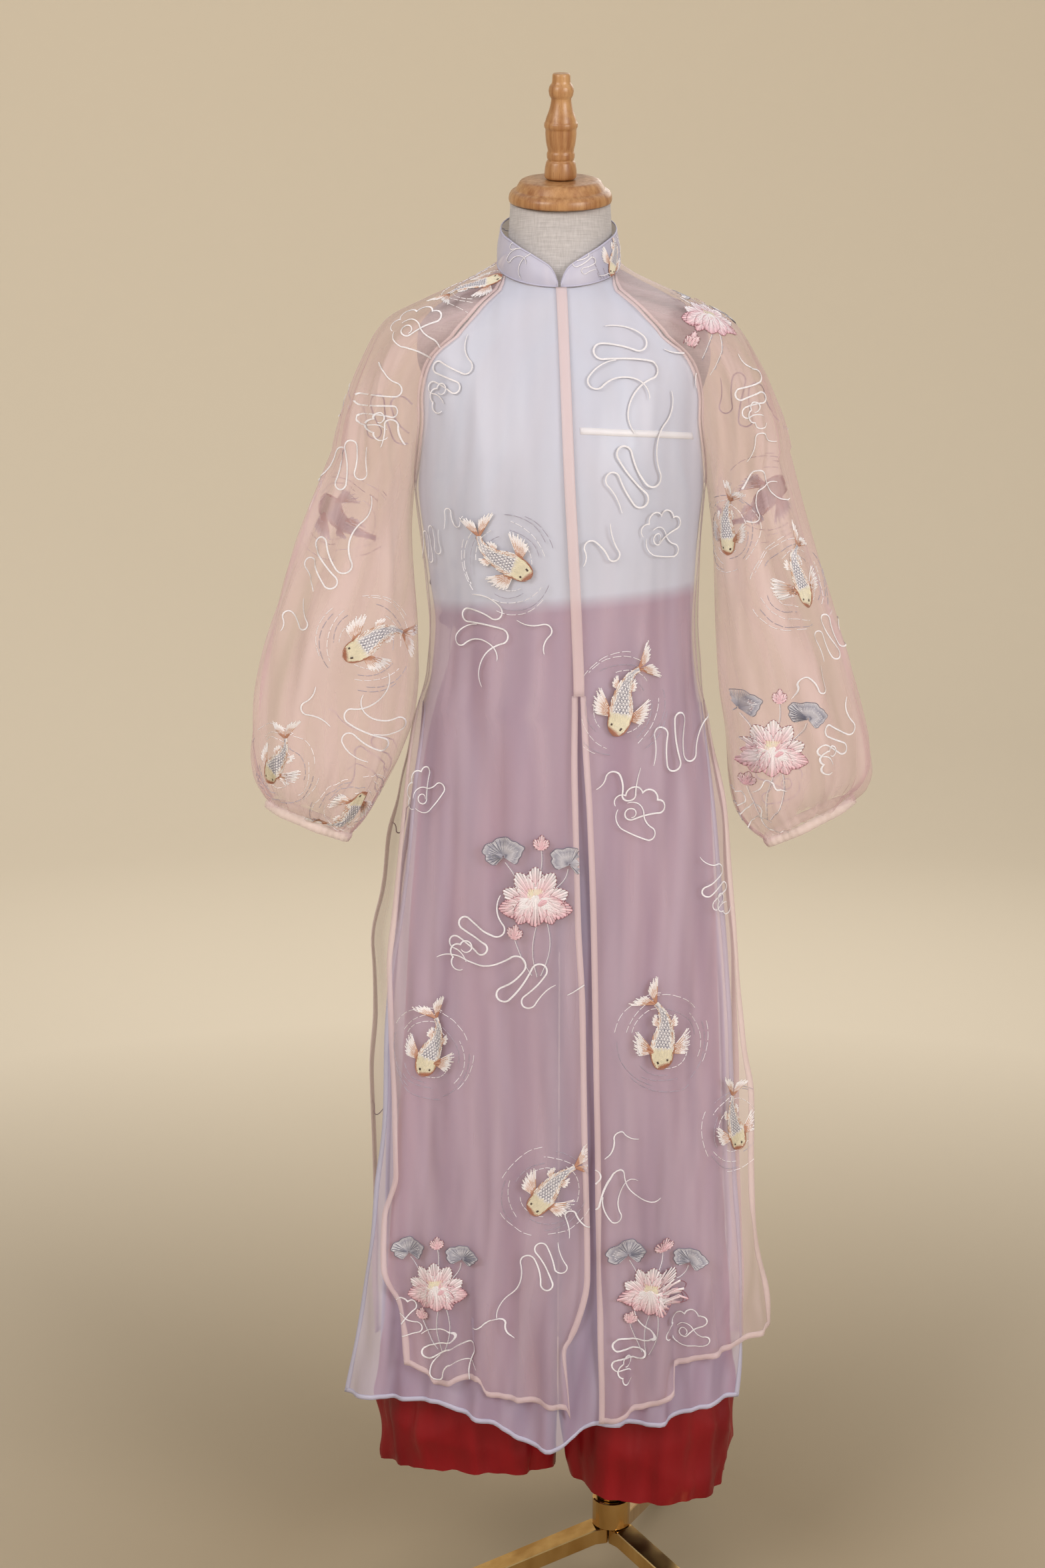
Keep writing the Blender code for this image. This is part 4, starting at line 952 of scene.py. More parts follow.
def gather_wave(columns):
    return 0.5 - 0.5 * np.cos(np.linspace(0.0, 2 * math.pi * GATHERS, columns))


def tube_line(tube, run, columns):
    outer, inner = tube_ends(tube, run)
    wave = fold_wave(SLEEVE_FOLDS, run, columns)
    wave += GATHER_RISE * smoothstep((run - GATHER_START) / GATHER_GROWTH) * gather_wave(columns)
    return loop_line(inner, inner, outer, tube.read("depth", run), columns, wave)


def leg_line(table, level, columns, run):
    front = table.read("front", level)
    back = table.read("back", level)
    depth = (front + back) / 2
    middle_y = (back - front) / 2
    half_open = depth * table.read("open", level)
    inner = table.read("inner", level)
    ends = [np.array([inner, middle_y + way * half_open, level]) for way in (-1, 1)]
    outer = np.array([table.read("outer", level), middle_y, level])
    return loop_line(ends[0], ends[1], outer, depth, columns, fold_wave(TROUSER_FOLDS, run, columns))


def waist_rise(x, level):
    """How much higher the trousers' top is worn towards the wearer's left."""
    return WAIST_SLOPE * x * smoothstep((level - WAIST_SLOPE_LOW) / (TROUSERS_TOP - WAIST_SLOPE_LOW))


# Grids of cloth


def even_levels(*spans):
    """Levels from the top down. Each span is (top, bottom, count), and the next one goes on from it."""
    lines = [np.linspace(top, bottom, count, endpoint=False) for top, bottom, count in spans]
    return np.concatenate(lines + [[spans[-1][1]]])


YOKE_LEVELS = even_levels((NECK, UNDERARM, 34))
ROBE_LEVELS = even_levels(
    (NECK, UNDERARM, 34),
    (UNDERARM, CLOSURE_END, 24),
    (CLOSURE_END, SLIT_TOP, 4),
    (SLIT_TOP, HEM_BLEND, 42),
    (HEM_BLEND, LOWEST_LEVEL, 56),
)


def creases(across, along, seed):
    """Small soft creases, mostly along the cloth, about 1 high."""
    total = np.zeros(np.broadcast(across, along).shape)
    for number, (wave, slant) in enumerate(CREASES):
        phase = seed * CREASE_PHASES[0] + number * CREASE_PHASES[1]
        drift = CREASE_DRIFT * np.sin(CREASE_DRIFT_TURNS * along + phase) + slant * along
        total = total + wave * np.sin(2 * math.pi * (across / wave + drift) + phase)
    return total / CREASES[0][0]


# A drawing is laid in a few rounds, each moving its places by so many of the grid's steps at most. Stitches
# that miss their place by more, or lie on cloth that faces too far away, are left out.
LAY_ROUNDS = 4
LAY_STEP = 12
LAY_MISS = 0.002
LAY_FACING = 0.15
SIDE_FACING = 0.05
FAR = 1e3


class Patch:
    """A piece of cloth: a grid of points on its outer face, and the way each faces. A joined row closes."""

    def __init__(self, name, points, normals, joined=()):
        self.name = name
        self.points = np.array(points)
        self.normals = unit(np.array(normals))
        self.joined = set(joined)
        self.rows, self.columns = self.points.shape[:2]

    def at(self, place):
        """Points and normals at places given as (row, column), which may lie between the grid's own."""
        r = np.clip(place[..., 0], 0, self.rows - 1.001)
        c = np.clip(place[..., 1], 0, self.columns - 1.001)
        i, j = r.astype(int), c.astype(int)
        s, t = (r - i)[..., None], (c - j)[..., None]
        found = []
        for grid in (self.points, self.normals):
            top = grid[i, j] * (1 - t) + grid[i, j + 1] * t
            low = grid[i + 1, j] * (1 - t) + grid[i + 1, j + 1] * t
            found.append(top * (1 - s) + low * s)
        return found[0], unit(found[1])

    def holds(self, place):
        inside = (place[..., 0] >= 0) & (place[..., 0] <= self.rows - 1)
        return inside & (place[..., 1] >= 0) & (place[..., 1] <= self.columns - 1)

    def nearest(self, x, z, facing):
        """The grid's place at x and z, on the side that faces the front (-1) or the back (1)."""
        miss = (self.points[..., 0] - x) ** 2 + (self.points[..., 2] - z) ** 2
        miss = np.where(self.normals[..., 1] * facing > SIDE_FACING, miss, FAR)
        return np.array(np.unravel_index(np.argmin(miss), miss.shape), float)

    def lay(self, flat, x, z, facing):
        """Places for flat drawing points, seen straight on at the drawing's middle, and which of them fit."""
        middle = np.clip(self.nearest(x, z, facing), 1, [self.rows - 2, self.columns - 2])
        origin, normal = self.at(middle)
        up = unit(np.array([0.0, 0.0, 1.0]) - normal * normal[2])
        right = np.cross(up, normal)
        axes = np.stack([right, up])
        steps = []
        for way in ((1.0, 0.0), (0.0, 1.0)):
            ahead, _ = self.at(middle + way)
            behind, _ = self.at(middle - way)
            steps.append(axes @ (ahead - behind) / 2)
        inverse = np.linalg.inv(np.stack(steps, axis=1))
        place = middle + flat @ inverse.T
        for _ in range(LAY_ROUNDS):
            points, _ = self.at(place)
            miss = flat - (points - origin) @ axes.T
            place = place + np.clip(miss @ inverse.T, -LAY_STEP, LAY_STEP)
        points, normals = self.at(place)
        miss = np.linalg.norm(flat - (points - origin) @ axes.T, axis=-1)
        return place, self.holds(place) & (miss < LAY_MISS) & (normals @ normal > LAY_FACING)


def robe_patch(name, spans, columns, ease, hem, seed, crumple):
    points = []
    normals = []
    for level in ROBE_LEVELS:
        low, high = spans(level)
        angles = np.linspace(low, high, columns)
        x = BODY.read("middle", level) + BODY.read("half", level) * np.sin(angles)
        levels = hem_levels(np.full(columns, level), HEMS.read(hem, x))
        line, facing = robe_row(angles, levels, ease)
        loose = CALM + (1 - CALM) * smoothstep((NECK - level) / CALM_LENGTH)
        loose += HEM_LOOSE * smoothstep((HEM_LOOSE_TOP - level) / HEM_LOOSE_BLEND)
        shift = creases(line[:, 0], line[:, 2], seed) * crumple * loose
        points.append(line + facing * shift[:, None])
        normals.append(facing)
    return Patch(name, points, normals)


def sleeve_patch(name, side, tube):
    turn = np.linspace(0.0, 2 * math.pi, SLEEVE_COLUMNS)
    lines = [head_line(side, level, SLEEVE_COLUMNS) for level in YOKE_LEVELS[:-1]]
    heads = len(lines)
    runs = np.linspace(0.0, 1.0, SLEEVE_ROWS) ** SLEEVE_PACKING
    lines += [tube_line(tube, run, SLEEVE_COLUMNS) for run in runs]
    joined = range(heads, len(lines))
    normals = side * grid_normals(lines, joined)
    points = np.array(lines)
    run = np.concatenate([np.linspace(HEAD_TOP, 0.0, heads, endpoint=False), runs])[:, None]
    soft = creases(turn * SLEEVE_RADIUS, points[..., 2], side * SLEEVE_SEED) * SLEEVE_CRUMPLE
    soft = soft * smoothstep((run - CREASE_START) / CREASE_GROWTH)
    gathers = FINE_GATHER_RISE * np.sin(FINE_GATHERS * turn)
    gathers = gathers * smoothstep((run - GATHER_START) / FINE_GATHER_GROWTH)
    shift = soft * np.sin(turn / 2) ** 0.5 + gathers
    shift[:heads, [0, -1]] = 0.0
    points = points + normals * shift[..., None]
    points[heads:, -1] = points[heads:, 0]
    return Patch(name, points, side * grid_normals(points, joined), joined)


def cuff_patch(name, side, tube):
    turn = np.linspace(0.0, 2 * math.pi, SLEEVE_COLUMNS)
    wave = GATHER_RISE * gather_wave(SLEEVE_COLUMNS) + CUFF_GATHER_RISE * np.sin(FINE_GATHERS * turn)
    outer, inner = tube_ends(tube, 1.0)
    along = unit(outer - inner)
    down = side * np.array([along[2], 0.0, -along[0]])
    lines = []
    for share in np.linspace(0.0, 1.0, 9):
        swell = CUFF_SWELL * math.sin(math.pi * share)
        step = SEAM * 0.5 + (CUFF_HEIGHT - SEAM * 0.5) * share
        low = inner - along * swell + down * step
        high = outer + along * swell + down * step
        lines.append(loop_line(low, low, high, tube.read("depth", 1.0) + swell, SLEEVE_COLUMNS, wave))
    joined = range(len(lines))
    return Patch(name, lines, side * grid_normals(lines, joined), joined)


def leg_patch(name, side, table):
    hem = LEG_HEMS[side]
    length = TROUSERS_TOP - hem["middle"]
    levels = even_levels(
        (TROUSERS_TOP, CROTCH, 34),
        (CROTCH, LEG_HEM_BLEND, 44),
        (LEG_HEM_BLEND, hem["middle"], 22),
    )
    turn = np.linspace(-math.pi, math.pi, LEG_COLUMNS)
    uneven = hem["outer"] * np.cos(turn) - hem["front"] * np.sin(turn)
    lines = []
    for level in levels:
        line = leg_line(table, level, LEG_COLUMNS, (TROUSERS_TOP - level) / length)
        line[:, 2] += uneven * smoothstep((LEG_HEM_BLEND - level) / (LEG_HEM_BLEND - hem["middle"]))
        line[:, 2] += waist_rise(line[:, 0], level)
        lines.append(line)
    joined = [i for i, level in enumerate(levels) if level <= CROTCH]
    normals = side * grid_normals(lines, joined)
    points = np.array(lines)
    z = points[..., 2]
    wide = np.sin((turn + math.pi) / 2) ** 0.5
    around = turn * LEG_RADIUS
    low = smoothstep((LEG_CREASE_TOP - levels) / LEG_CREASE_BLEND)[:, None]
    near_hem = smoothstep((PUCKER_TOP - levels) / PUCKER_BLEND)[:, None]
    slants = -PUCKER_MEAN
    for turns, rise, phase, share in ((23.0, 34.0, side, 1.0), (15.0, -46.0, 2.0, 0.7)):
        slants = slants + share * (1 - np.abs(np.sin(around * turns + z * rise + phase)))
    shift = creases(around, z, side * LEG_SEED[0] + LEG_SEED[1]) * LEG_CRUMPLE * low * wide
    shift = shift + slants * PUCKER * near_hem * wide
    points = points + normals * shift[..., None]
    points[joined, -1] = points[joined, 0]
    return Patch(name, points, side * grid_normals(points, joined), joined)


def collar_patch():
    near = np.concatenate([np.linspace(1.2, 16.0, 22), np.linspace(17.5, 180.0, 64)])
    angles = np.radians(np.concatenate([near, (360.0 - near[:-1])[::-1]]))
    from_front = np.degrees(np.minimum(angles, 2 * math.pi - angles))
    full = COLLAR.read("height", from_front)
    foot = robe_point(angles, np.full(len(angles), NECK), outer_ease)
    middle = np.array([BODY.read("middle", NECK), 0.0, 0.0])
    away = unit((foot - middle) * np.array([1.0, 1.0, 0.0]))
    lines = []
    for share in np.linspace(1.0, 0.0, 13):
        rise = full * share
        out = 4 * share * (1 - share) * COLLAR_BOW - COLLAR_SLOPE * rise
        lines.append(foot + away * out[:, None] + np.outer(rise + COLLAR_REST, [0.0, 0.0, 1.0]))
    return Patch("collar_cloth", lines, [away] * len(lines))


# Meshes


def to_frame(points):
    return np.asarray(points, float) + SHIFT


def new_piece(name, points, faces, finish, smooth=True):
    mesh = bpy.data.meshes.new(name)
    mesh.from_pydata([tuple(p) for p in to_frame(points)], [], [tuple(int(i) for i in f) for f in faces])
    mesh.polygons.foreach_set("use_smooth", [smooth] * len(mesh.polygons))
    mesh.materials.append(finish)
    made = bpy.data.objects.new(name, mesh)
    bpy.context.scene.collection.objects.link(made)
    return made


def grid_faces(rows, columns):
    r, c = np.meshgrid(np.arange(rows - 1), np.arange(columns - 1), indexing="ij")
    first = (r * columns + c).ravel()
    return np.stack([first, first + columns, first + columns + 1, first + 1], axis=1)


def cloth_piece(patch, finish):
    """The patch as a sheet, with its width and length in metres as texture coordinates."""
    rows, columns = patch.rows, patch.columns
    faces = grid_faces(rows, columns)
    corners = faces.copy()
    for r in patch.joined:
        faces[faces == r * columns + columns - 1] = r * columns
    points = patch.points.reshape(-1, 3)
    used = np.unique(faces)
    renumber = np.zeros(rows * columns, int)
    renumber[used] = np.arange(len(used))
    made = new_piece(patch.name, points[used], renumber[faces], finish)
    along = np.cumsum(np.linalg.norm(np.diff(patch.points[:, columns // 2], axis=0), axis=-1))
    v = np.concatenate([[0.0], along])
    width = np.linalg.norm(np.diff(patch.points, axis=1), axis=-1).sum(axis=1)
    u = (np.arange(columns) / (columns - 1) - 0.5) * width[:, None]
    place = np.stack([u, np.broadcast_to(v[:, None], u.shape)], axis=-1).reshape(-1, 2)
    layer = made.data.uv_layers.new(name="Cloth")
    layer.data.foreach_set("uv", place[corners.ravel()].ravel())
    return made


def ribbon(name, strips, finish):
    """Closed narrow bands. Each strip is the lines of its section, in order round it."""
    points = []
    faces = []
    for lines in strips:
        count, length = len(lines), len(lines[0])
        base = len(points)
        points += [p for line in lines for p in line]
        for k in range(count):
            after = (k + 1) % count
            for i in range(length - 1):
                a = base + k * length + i
                b = base + after * length + i
                faces.append((a, b, b + 1, a + 1))
        faces.append([base + k * length for k in range(count)][::-1])
        faces.append([base + k * length + length - 1 for k in range(count)])
    return new_piece(name, np.array(points), faces, finish)


def band_lines(patch, places, inward, rise, thick):
    """A folded band from the edge at these places inwards: its section's lines, over both faces."""
    over = []
    under = []
    for share in (0.0, 0.5, 1.0):
        points, normals = patch.at(places + inward * share)
        proud = rise + (thick if share == 0.5 else 0.0)
        over.append(points + normals * proud)
        under.append(points - normals * proud)
    return over + under[::-1]


def edge_band(patch, axis, last, width, span=None, rise=BAND_RISE, thick=BAND_THICK):
    """A band along the grid's first or last row or column, whole or between two places of a span along it."""
    sizes = (patch.rows, patch.columns)
    low, high = span or (0, sizes[1 - axis] - 1)
    places = np.zeros((high + 1 - low, 2))
    places[:, 1 - axis] = np.arange(low, high + 1)
    places[:, axis] = sizes[axis] - 1 if last else 0
    way = np.zeros(2)
    way[axis] = -1.0 if last else 1.0
    edge, _ = patch.at(places)
    near, _ = patch.at(places + way)
    step = width / np.linalg.norm(near - edge, axis=-1)
    return band_lines(patch, places, way * step[:, None], rise, thick)


def ring_faces(rings, count, first=0):
    """Faces between closed rings of points that follow each other, from the first point's number."""
    faces = []
    for k in range(rings - 1):
        a = first + k * count
        b = a + count
        for i in range(count):
            after = (i + 1) % count
            faces.append((a + i, b + i, b + after, a + after))
    return faces


def lathe(name, profile, finish, segments, foot, turn):
    """A solid turned about its own Z axis, with the profile's corners eased."""
    line = np.array(profile, float)
    for _ in range(CORNER_CUTS):
        cut = [line[0]]
        for a, b in zip(line, line[1:]):
            cut += [a * (1 - CORNER_SHARE) + b * CORNER_SHARE, a * CORNER_SHARE + b * (1 - CORNER_SHARE)]
        line = np.array(cut + [line[-1]])
    around = np.linspace(0.0, 2 * math.pi, segments, endpoint=False)
    outline = line[line[:, 0] > 1e-6]
    circle = np.stack([np.cos(around), np.sin(around), np.zeros(segments)], axis=-1)
    rings = [r * circle + [0.0, 0.0, z] for r, z in outline]
    points = np.concatenate(rings + [[[0.0, 0.0, line[0, 1]], [0.0, 0.0, line[-1, 1]]]])
    faces = ring_faces(len(outline), segments)
    top, low = len(points) - 2, len(points) - 1
    last = (len(outline) - 1) * segments
    for i in range(segments):
        after = (i + 1) % segments
        faces += [(top, i, after), (low, last + after, last + i)]
    rotation = np.array(Euler(turn).to_matrix())
    return new_piece(name, points @ rotation.T + np.array(foot), faces, finish)


# Finishes


class Finish:
    """A material and a short way to add nodes to it."""

    def __init__(self, name, base, roughness, **sockets):
        self.material = bpy.data.materials.new(name)
        self.material.use_nodes = True
        self.tree = self.material.node_tree
        self.shader = self.tree.nodes["Principled BSDF"]
        self.shader.inputs["Base Color"].default_value = base
        self.shader.inputs["Roughness"].default_value = roughness
        for socket, value in sockets.items():
            self.shader.inputs[socket.replace("_", " ")].default_value = value

    def add(self, kind, inputs=(), **settings):
        node = self.tree.nodes.new("ShaderNode" + kind)
        for key, value in settings.items():
            setattr(node, key, value)
        for key, value in dict(inputs).items():
            if isinstance(value, bpy.types.NodeSocket):
                self.tree.links.new(value, node.inputs[key])
            else:
                node.inputs[key].default_value = value
        return node

    def link(self, value, socket):
        self.tree.links.new(value, self.shader.inputs[socket])

    def place(self, source, scale, rotation=(0.0, 0.0, 0.0)):
        """Texture coordinates: Object in metres, or UV, stretched by scale and turned first."""
        found = self.add("TexCoord").outputs[source]
        if any(rotation):
            found = self.add("Mapping", {"Vector": found, "Rotation": rotation}).outputs["Vector"]
        return self.add("Mapping", {"Vector": found, "Scale": scale}).outputs["Vector"]

    def height(self, source, axis="Z"):
        """One coordinate of a place, in metres."""
        return self.add("SeparateXYZ", {"Vector": self.add("TexCoord").outputs[source]}).outputs[axis]

    def noise(self, vector, detail=2.0, roughness=0.5):
        inputs = {"Vector": vector, "Scale": 1.0, "Detail": detail, "Roughness": roughness}
        return self.add("TexNoise", inputs).outputs["Fac"]

    def ramp(self, value, low, high, to_low, to_high):
        """The value moved from one range to another, held inside it."""
        inputs = {"Value": value, "From Min": low, "From Max": high, "To Min": to_low, "To Max": to_high}
        return self.add("MapRange", inputs).outputs["Result"]

    def sum(self, first, second, operation="ADD"):
        return self.add("Math", {0: first, 1: second}, operation=operation).outputs["Value"]

    def mix(self, share, first, second):
        node = self.add("Mix", {"Factor": share}, data_type="RGBA")
        for socket, value in ((node.inputs[6], first), (node.inputs[7], second)):
            if isinstance(value, bpy.types.NodeSocket):
                self.tree.links.new(value, socket)
            else:
                socket.default_value = value
        return node.outputs[2]

    def bump(self, height, distance, strength=1.0):
        node = self.add("Bump", {"Height": height, "Distance": distance, "Strength": strength})
        self.link(node.outputs["Normal"], "Normal")


def sheer(name, light, deep, opacity, roughness, lit_chest, swing):
    """Organza: smooth, with a soft watered shade along the cloth, and the share of light that it stops.
    Given a tone and a share for the chest, it takes them over the form's chest: a lighter tone, painted light
    for the stronger light that falls there."""
    made = Finish(name, light, roughness, Specular_IOR_Level=0.4)
    water = made.noise(made.place("UV", (34.0, 3.0, 1.0)), 1.0)
    tone = made.mix(made.ramp(water, 0.3, 0.7, 0.0, 1.0), light, deep)
    made.shader.inputs["Alpha"].default_value = opacity
    stopped = made.ramp(water, 0.27, 0.73, opacity + swing, opacity - swing) if swing else opacity
    if lit_chest:
        chest, lit_chest_opacity = lit_chest
        slope = made.sum(made.height("Object", "X"), -WAIST_SLOPE, "MULTIPLY")
        height = made.sum(made.height("Object"), slope)
        # Painted light: over the chest, which the lamps light more strongly, the cloth takes a lighter tone and
        # an opacity of its own
        tone = made.mix(made.ramp(height, *CHEST_LIGHT_BLEND, 0.0, 1.0), tone, colour(*chest))
        stopped = made.sum(stopped, made.ramp(height, *CHEST_LIGHT_BLEND, 0.0, lit_chest_opacity - opacity))
    made.link(tone, "Base Color")
    if swing:
        made.link(stopped, "Alpha")
    return made.material


def satin(name, light, deep):
    made = Finish(name, light, 0.5, Specular_IOR_Level=0.3)
    # Lighter and darker streaks in the colour are painted sheen; the roughness follows the same streaks
    soft = made.noise(made.place("UV", (18.0, 2.4, 1.0)), 2.0)
    made.link(made.mix(made.ramp(soft, 0.3, 0.7, 0.0, 1.0), light, deep), "Base Color")
    made.link(made.ramp(soft, 0.3, 0.7, 0.34, 0.48), "Roughness")
    return made.material


def linen():
    made = Finish("linen_cover", colour(184, 178, 176), 0.88, Sheen_Weight=0.2, Sheen_Roughness=0.5)
    warp = made.noise(made.place("Object", (900.0, 900.0, 60.0)), 1.0)
    weft = made.noise(made.place("Object", (60.0, 60.0, 900.0)), 1.0)
    cloudy = made.noise(made.place("Object", (9.0, 9.0, 9.0)), 2.0)
    threads = made.sum(warp, weft)
    share = made.sum(made.ramp(threads, 0.7, 1.3, 0.0, 0.7), made.ramp(cloudy, 0.3, 0.7, 0.0, 0.3))
    made.link(made.mix(share, colour(168, 162, 160), colour(200, 194, 192)), "Base Color")
    made.bump(threads, 0.0004, 0.7)
    return made.material


def turned_wood():
    """Pale wood with its grain along the finial's axis, under a clear varnish."""
    made = Finish("varnished_wood", colour(190, 140, 90), 0.4, Coat_Weight=0.25, Coat_Roughness=0.28)
    rotation = (-NECK_TILT, 0.0, 0.0)
    grain = made.noise(made.place("Object", (170.0, 170.0, 9.0), rotation), 3.0, 0.6)
    pores = made.noise(made.place("Object", (1300.0, 1300.0, 60.0), rotation), 1.0)
    broad = made.noise(made.place("Object", (26.0, 26.0, 5.0), rotation), 2.0)
    share = made.sum(made.ramp(grain, 0.35, 0.68, 0.0, 0.62), made.ramp(broad, 0.35, 0.65, 0.0, 0.38))
    base = made.mix(share, colour(196, 150, 102), colour(144, 92, 50))
    made.link(made.mix(made.ramp(pores, 0.62, 0.75, 0.0, 0.45), base, colour(120, 70, 30)), "Base Color")
    made.link(made.ramp(grain, 0.3, 0.7, 0.36, 0.48), "Roughness")
    made.bump(pores, 0.0001, 0.3)
    return made.material


def gold(name, light, deep, roughness):
    made = Finish(name, light, roughness, Metallic=1.0)
    smear = made.noise(made.place("Object", (30.0, 30.0, 9.0)), 3.0)
    fine = made.noise(made.place("Object", (400.0, 400.0, 400.0)), 2.0)
    made.link(made.mix(made.ramp(smear, 0.35, 0.65, 0.0, 1.0), light, deep), "Base Color")
    made.link(made.sum(made.ramp(smear, 0.3, 0.7, -0.05, 0.07), roughness), "Roughness")
    made.bump(fine, 0.00005, 0.3)
    return made.material


def rubber():
    made = Finish("rubber_foot", colour(40, 40, 42), 0.75)
    grain = made.noise(made.place("Object", (700.0, 700.0, 700.0)), 2.0)
    made.link(made.mix(grain, colour(30, 30, 31), colour(52, 52, 54)), "Base Color")
    made.bump(grain, 0.0002, 0.5)
    return made.material


def thread():
    """Embroidery thread in the colour that each stitch carries."""
    made = Finish("embroidery_thread", colour(230, 222, 212), 0.45, Specular_IOR_Level=0.4)
    tint = made.add("Attribute", attribute_name="Tint").outputs["Color"]
    twist = made.noise(made.place("Object", (1500.0, 1500.0, 1500.0)), 0.0)
    shade = made.mix(made.ramp(twist, 0.3, 0.7, 0.0, 0.22), tint, colour(120, 112, 108))
    made.link(shade, "Base Color")
    return made.material


def floor_with_painted_shadow():
    # Painted shadow: the floor is darker near the middle and takes the wall's tone further out
    made = Finish("studio_floor", WALL_TONE, 0.9, Specular_IOR_Level=0.1)
    place = made.add("TexCoord").outputs["Object"]
    away = made.add("VectorMath", {"Vector": place}, operation="LENGTH").outputs["Value"]
    made.link(made.mix(made.ramp(away, *FLOOR_SHADOW_BLEND, 0.0, 1.0), FLOOR_SHADOW_TONE, WALL_TONE), "Base Color")
    return made.material


# Embroidery, drawn flat in metres


class Drawing:
    """Straight stitches, each with its ends, width and the colours of its ends."""

    def __init__(self):
        self.parts = []

    def stitch(self, start, end, width, first, last=None):
        start, end = np.broadcast_arrays(np.atleast_2d(start).astype(float), np.atleast_2d(end).astype(float))
        count = len(start)
        first = np.broadcast_to(np.array(first), (count, 3))
        last = first if last is None else np.broadcast_to(np.array(last), (count, 3))
        wide = np.broadcast_to(width, (count,))
        self.parts.append(np.concatenate([start, end, wide[:, None], first, last], axis=1))

    def running(self, line, width, tone, skip=0):
        """A line of stitches end to end. With skip, every so many is left out."""
        line = np.asarray(line)
        keep = np.ones(len(line) - 1, bool)
        if skip:
            keep[skip - 1 :: skip] = False
        self.stitch(line[:-1][keep], line[1:][keep], width, tone)

    def satin(self, line, width, tone):
        """A cord of short slanted stitches side by side along an even line."""
        line = np.asarray(line)
        ahead = unit(np.gradient(line, axis=0))
        side = np.stack([-ahead[:, 1], ahead[:, 0]], axis=1) + 0.35 * ahead
        run = np.linspace(0.0, 1.0, len(line))
        half = width / 2 * (0.35 + 0.65 * np.sin(math.pi * run) ** 0.35)
        self.stitch(line - side * half[:, None], line + side * half[:, None], THREAD_WIDTH, tone)

    def all(self, turn=0.0, size=1.0):
        """Every stitch, turned by degrees and scaled, with its lift in the order they are laid."""
        rows = np.concatenate(self.parts)
        a = math.radians(turn)
        matrix = size * np.array([[math.cos(a), -math.sin(a)], [math.sin(a), math.cos(a)]])
        rows[:, 0:2] = rows[:, 0:2] @ matrix.T
        rows[:, 2:4] = rows[:, 2:4] @ matrix.T
        lift = np.linspace(0.0, STITCH_LIFT, len(rows))
        return np.concatenate([rows, lift[:, None]], axis=1)


def arcs(x, y, heading, pieces):
    """An even line through arcs. A length of 0 is a corner."""
    at = CLOUD_SCALE * np.array([x, y]) / 1000
    heading = math.radians(heading)
    line = [at]
    for piece in pieces.split(","):
        length, turn = (int(word) for word in piece.split())
        turn = math.radians(turn)
        steps = int(round(CLOUD_SCALE * length / (STITCH_STEP * 1000)))
        if steps < 1:
            heading += turn
            continue
        for _ in range(steps):
            heading += turn / steps / 2
            at = at + STITCH_STEP * np.array([math.cos(heading), math.sin(heading)])
            heading += turn / steps / 2
            line.append(at)
    return np.array(line)


def cloud(kind):
    made = Drawing()
    for x, y, heading, width, pieces in CLOUDS[kind]:
        made.satin(arcs(x, y, heading, pieces), width, THREADS["white"])
    stitches = np.concatenate(made.parts)
    middle = (stitches[:, 0:2].min(0) + stitches[:, 0:2].max(0)) / 2
    for part in made.parts:
        part[:, 0:4] -= np.tile(middle, 2)
    return made


def fan(drawing, root, reach, heading, spread, count, lead):
    """Rays of a fin or tail from a brown root to white tips. The side that leads is longer, by its share."""
    share = np.linspace(-1.0, 1.0, count)
    turns = np.radians(heading + spread * share)
    ragged = 1.0 + 0.10 * np.sin(np.arange(count) * 2.4)
    longer = (reach * ragged * (1.0 - 0.45 * np.abs(lead) * (1 - np.sign(lead) * share) / 2))[:, None]
    way = np.stack([np.cos(turns), np.sin(turns)], axis=1)
    root = np.asarray(root)
    for low, high, odd, even in FIN_RAYS:
        first = np.where((np.arange(count) % 2 == 0)[:, None], THREADS[odd], THREADS[even])
        drawing.stitch(root + way * longer * low, root + way * longer * high, FIN_STITCH, first)
    between = (way[:-1] + way[1:]) / 2
    start = root + between * longer[:-1] * 0.5
    end = root + between * longer[:-1] * 0.93
    drawing.stitch(start, end, FIN_STITCH, THREADS["ochre"], THREADS["white"])


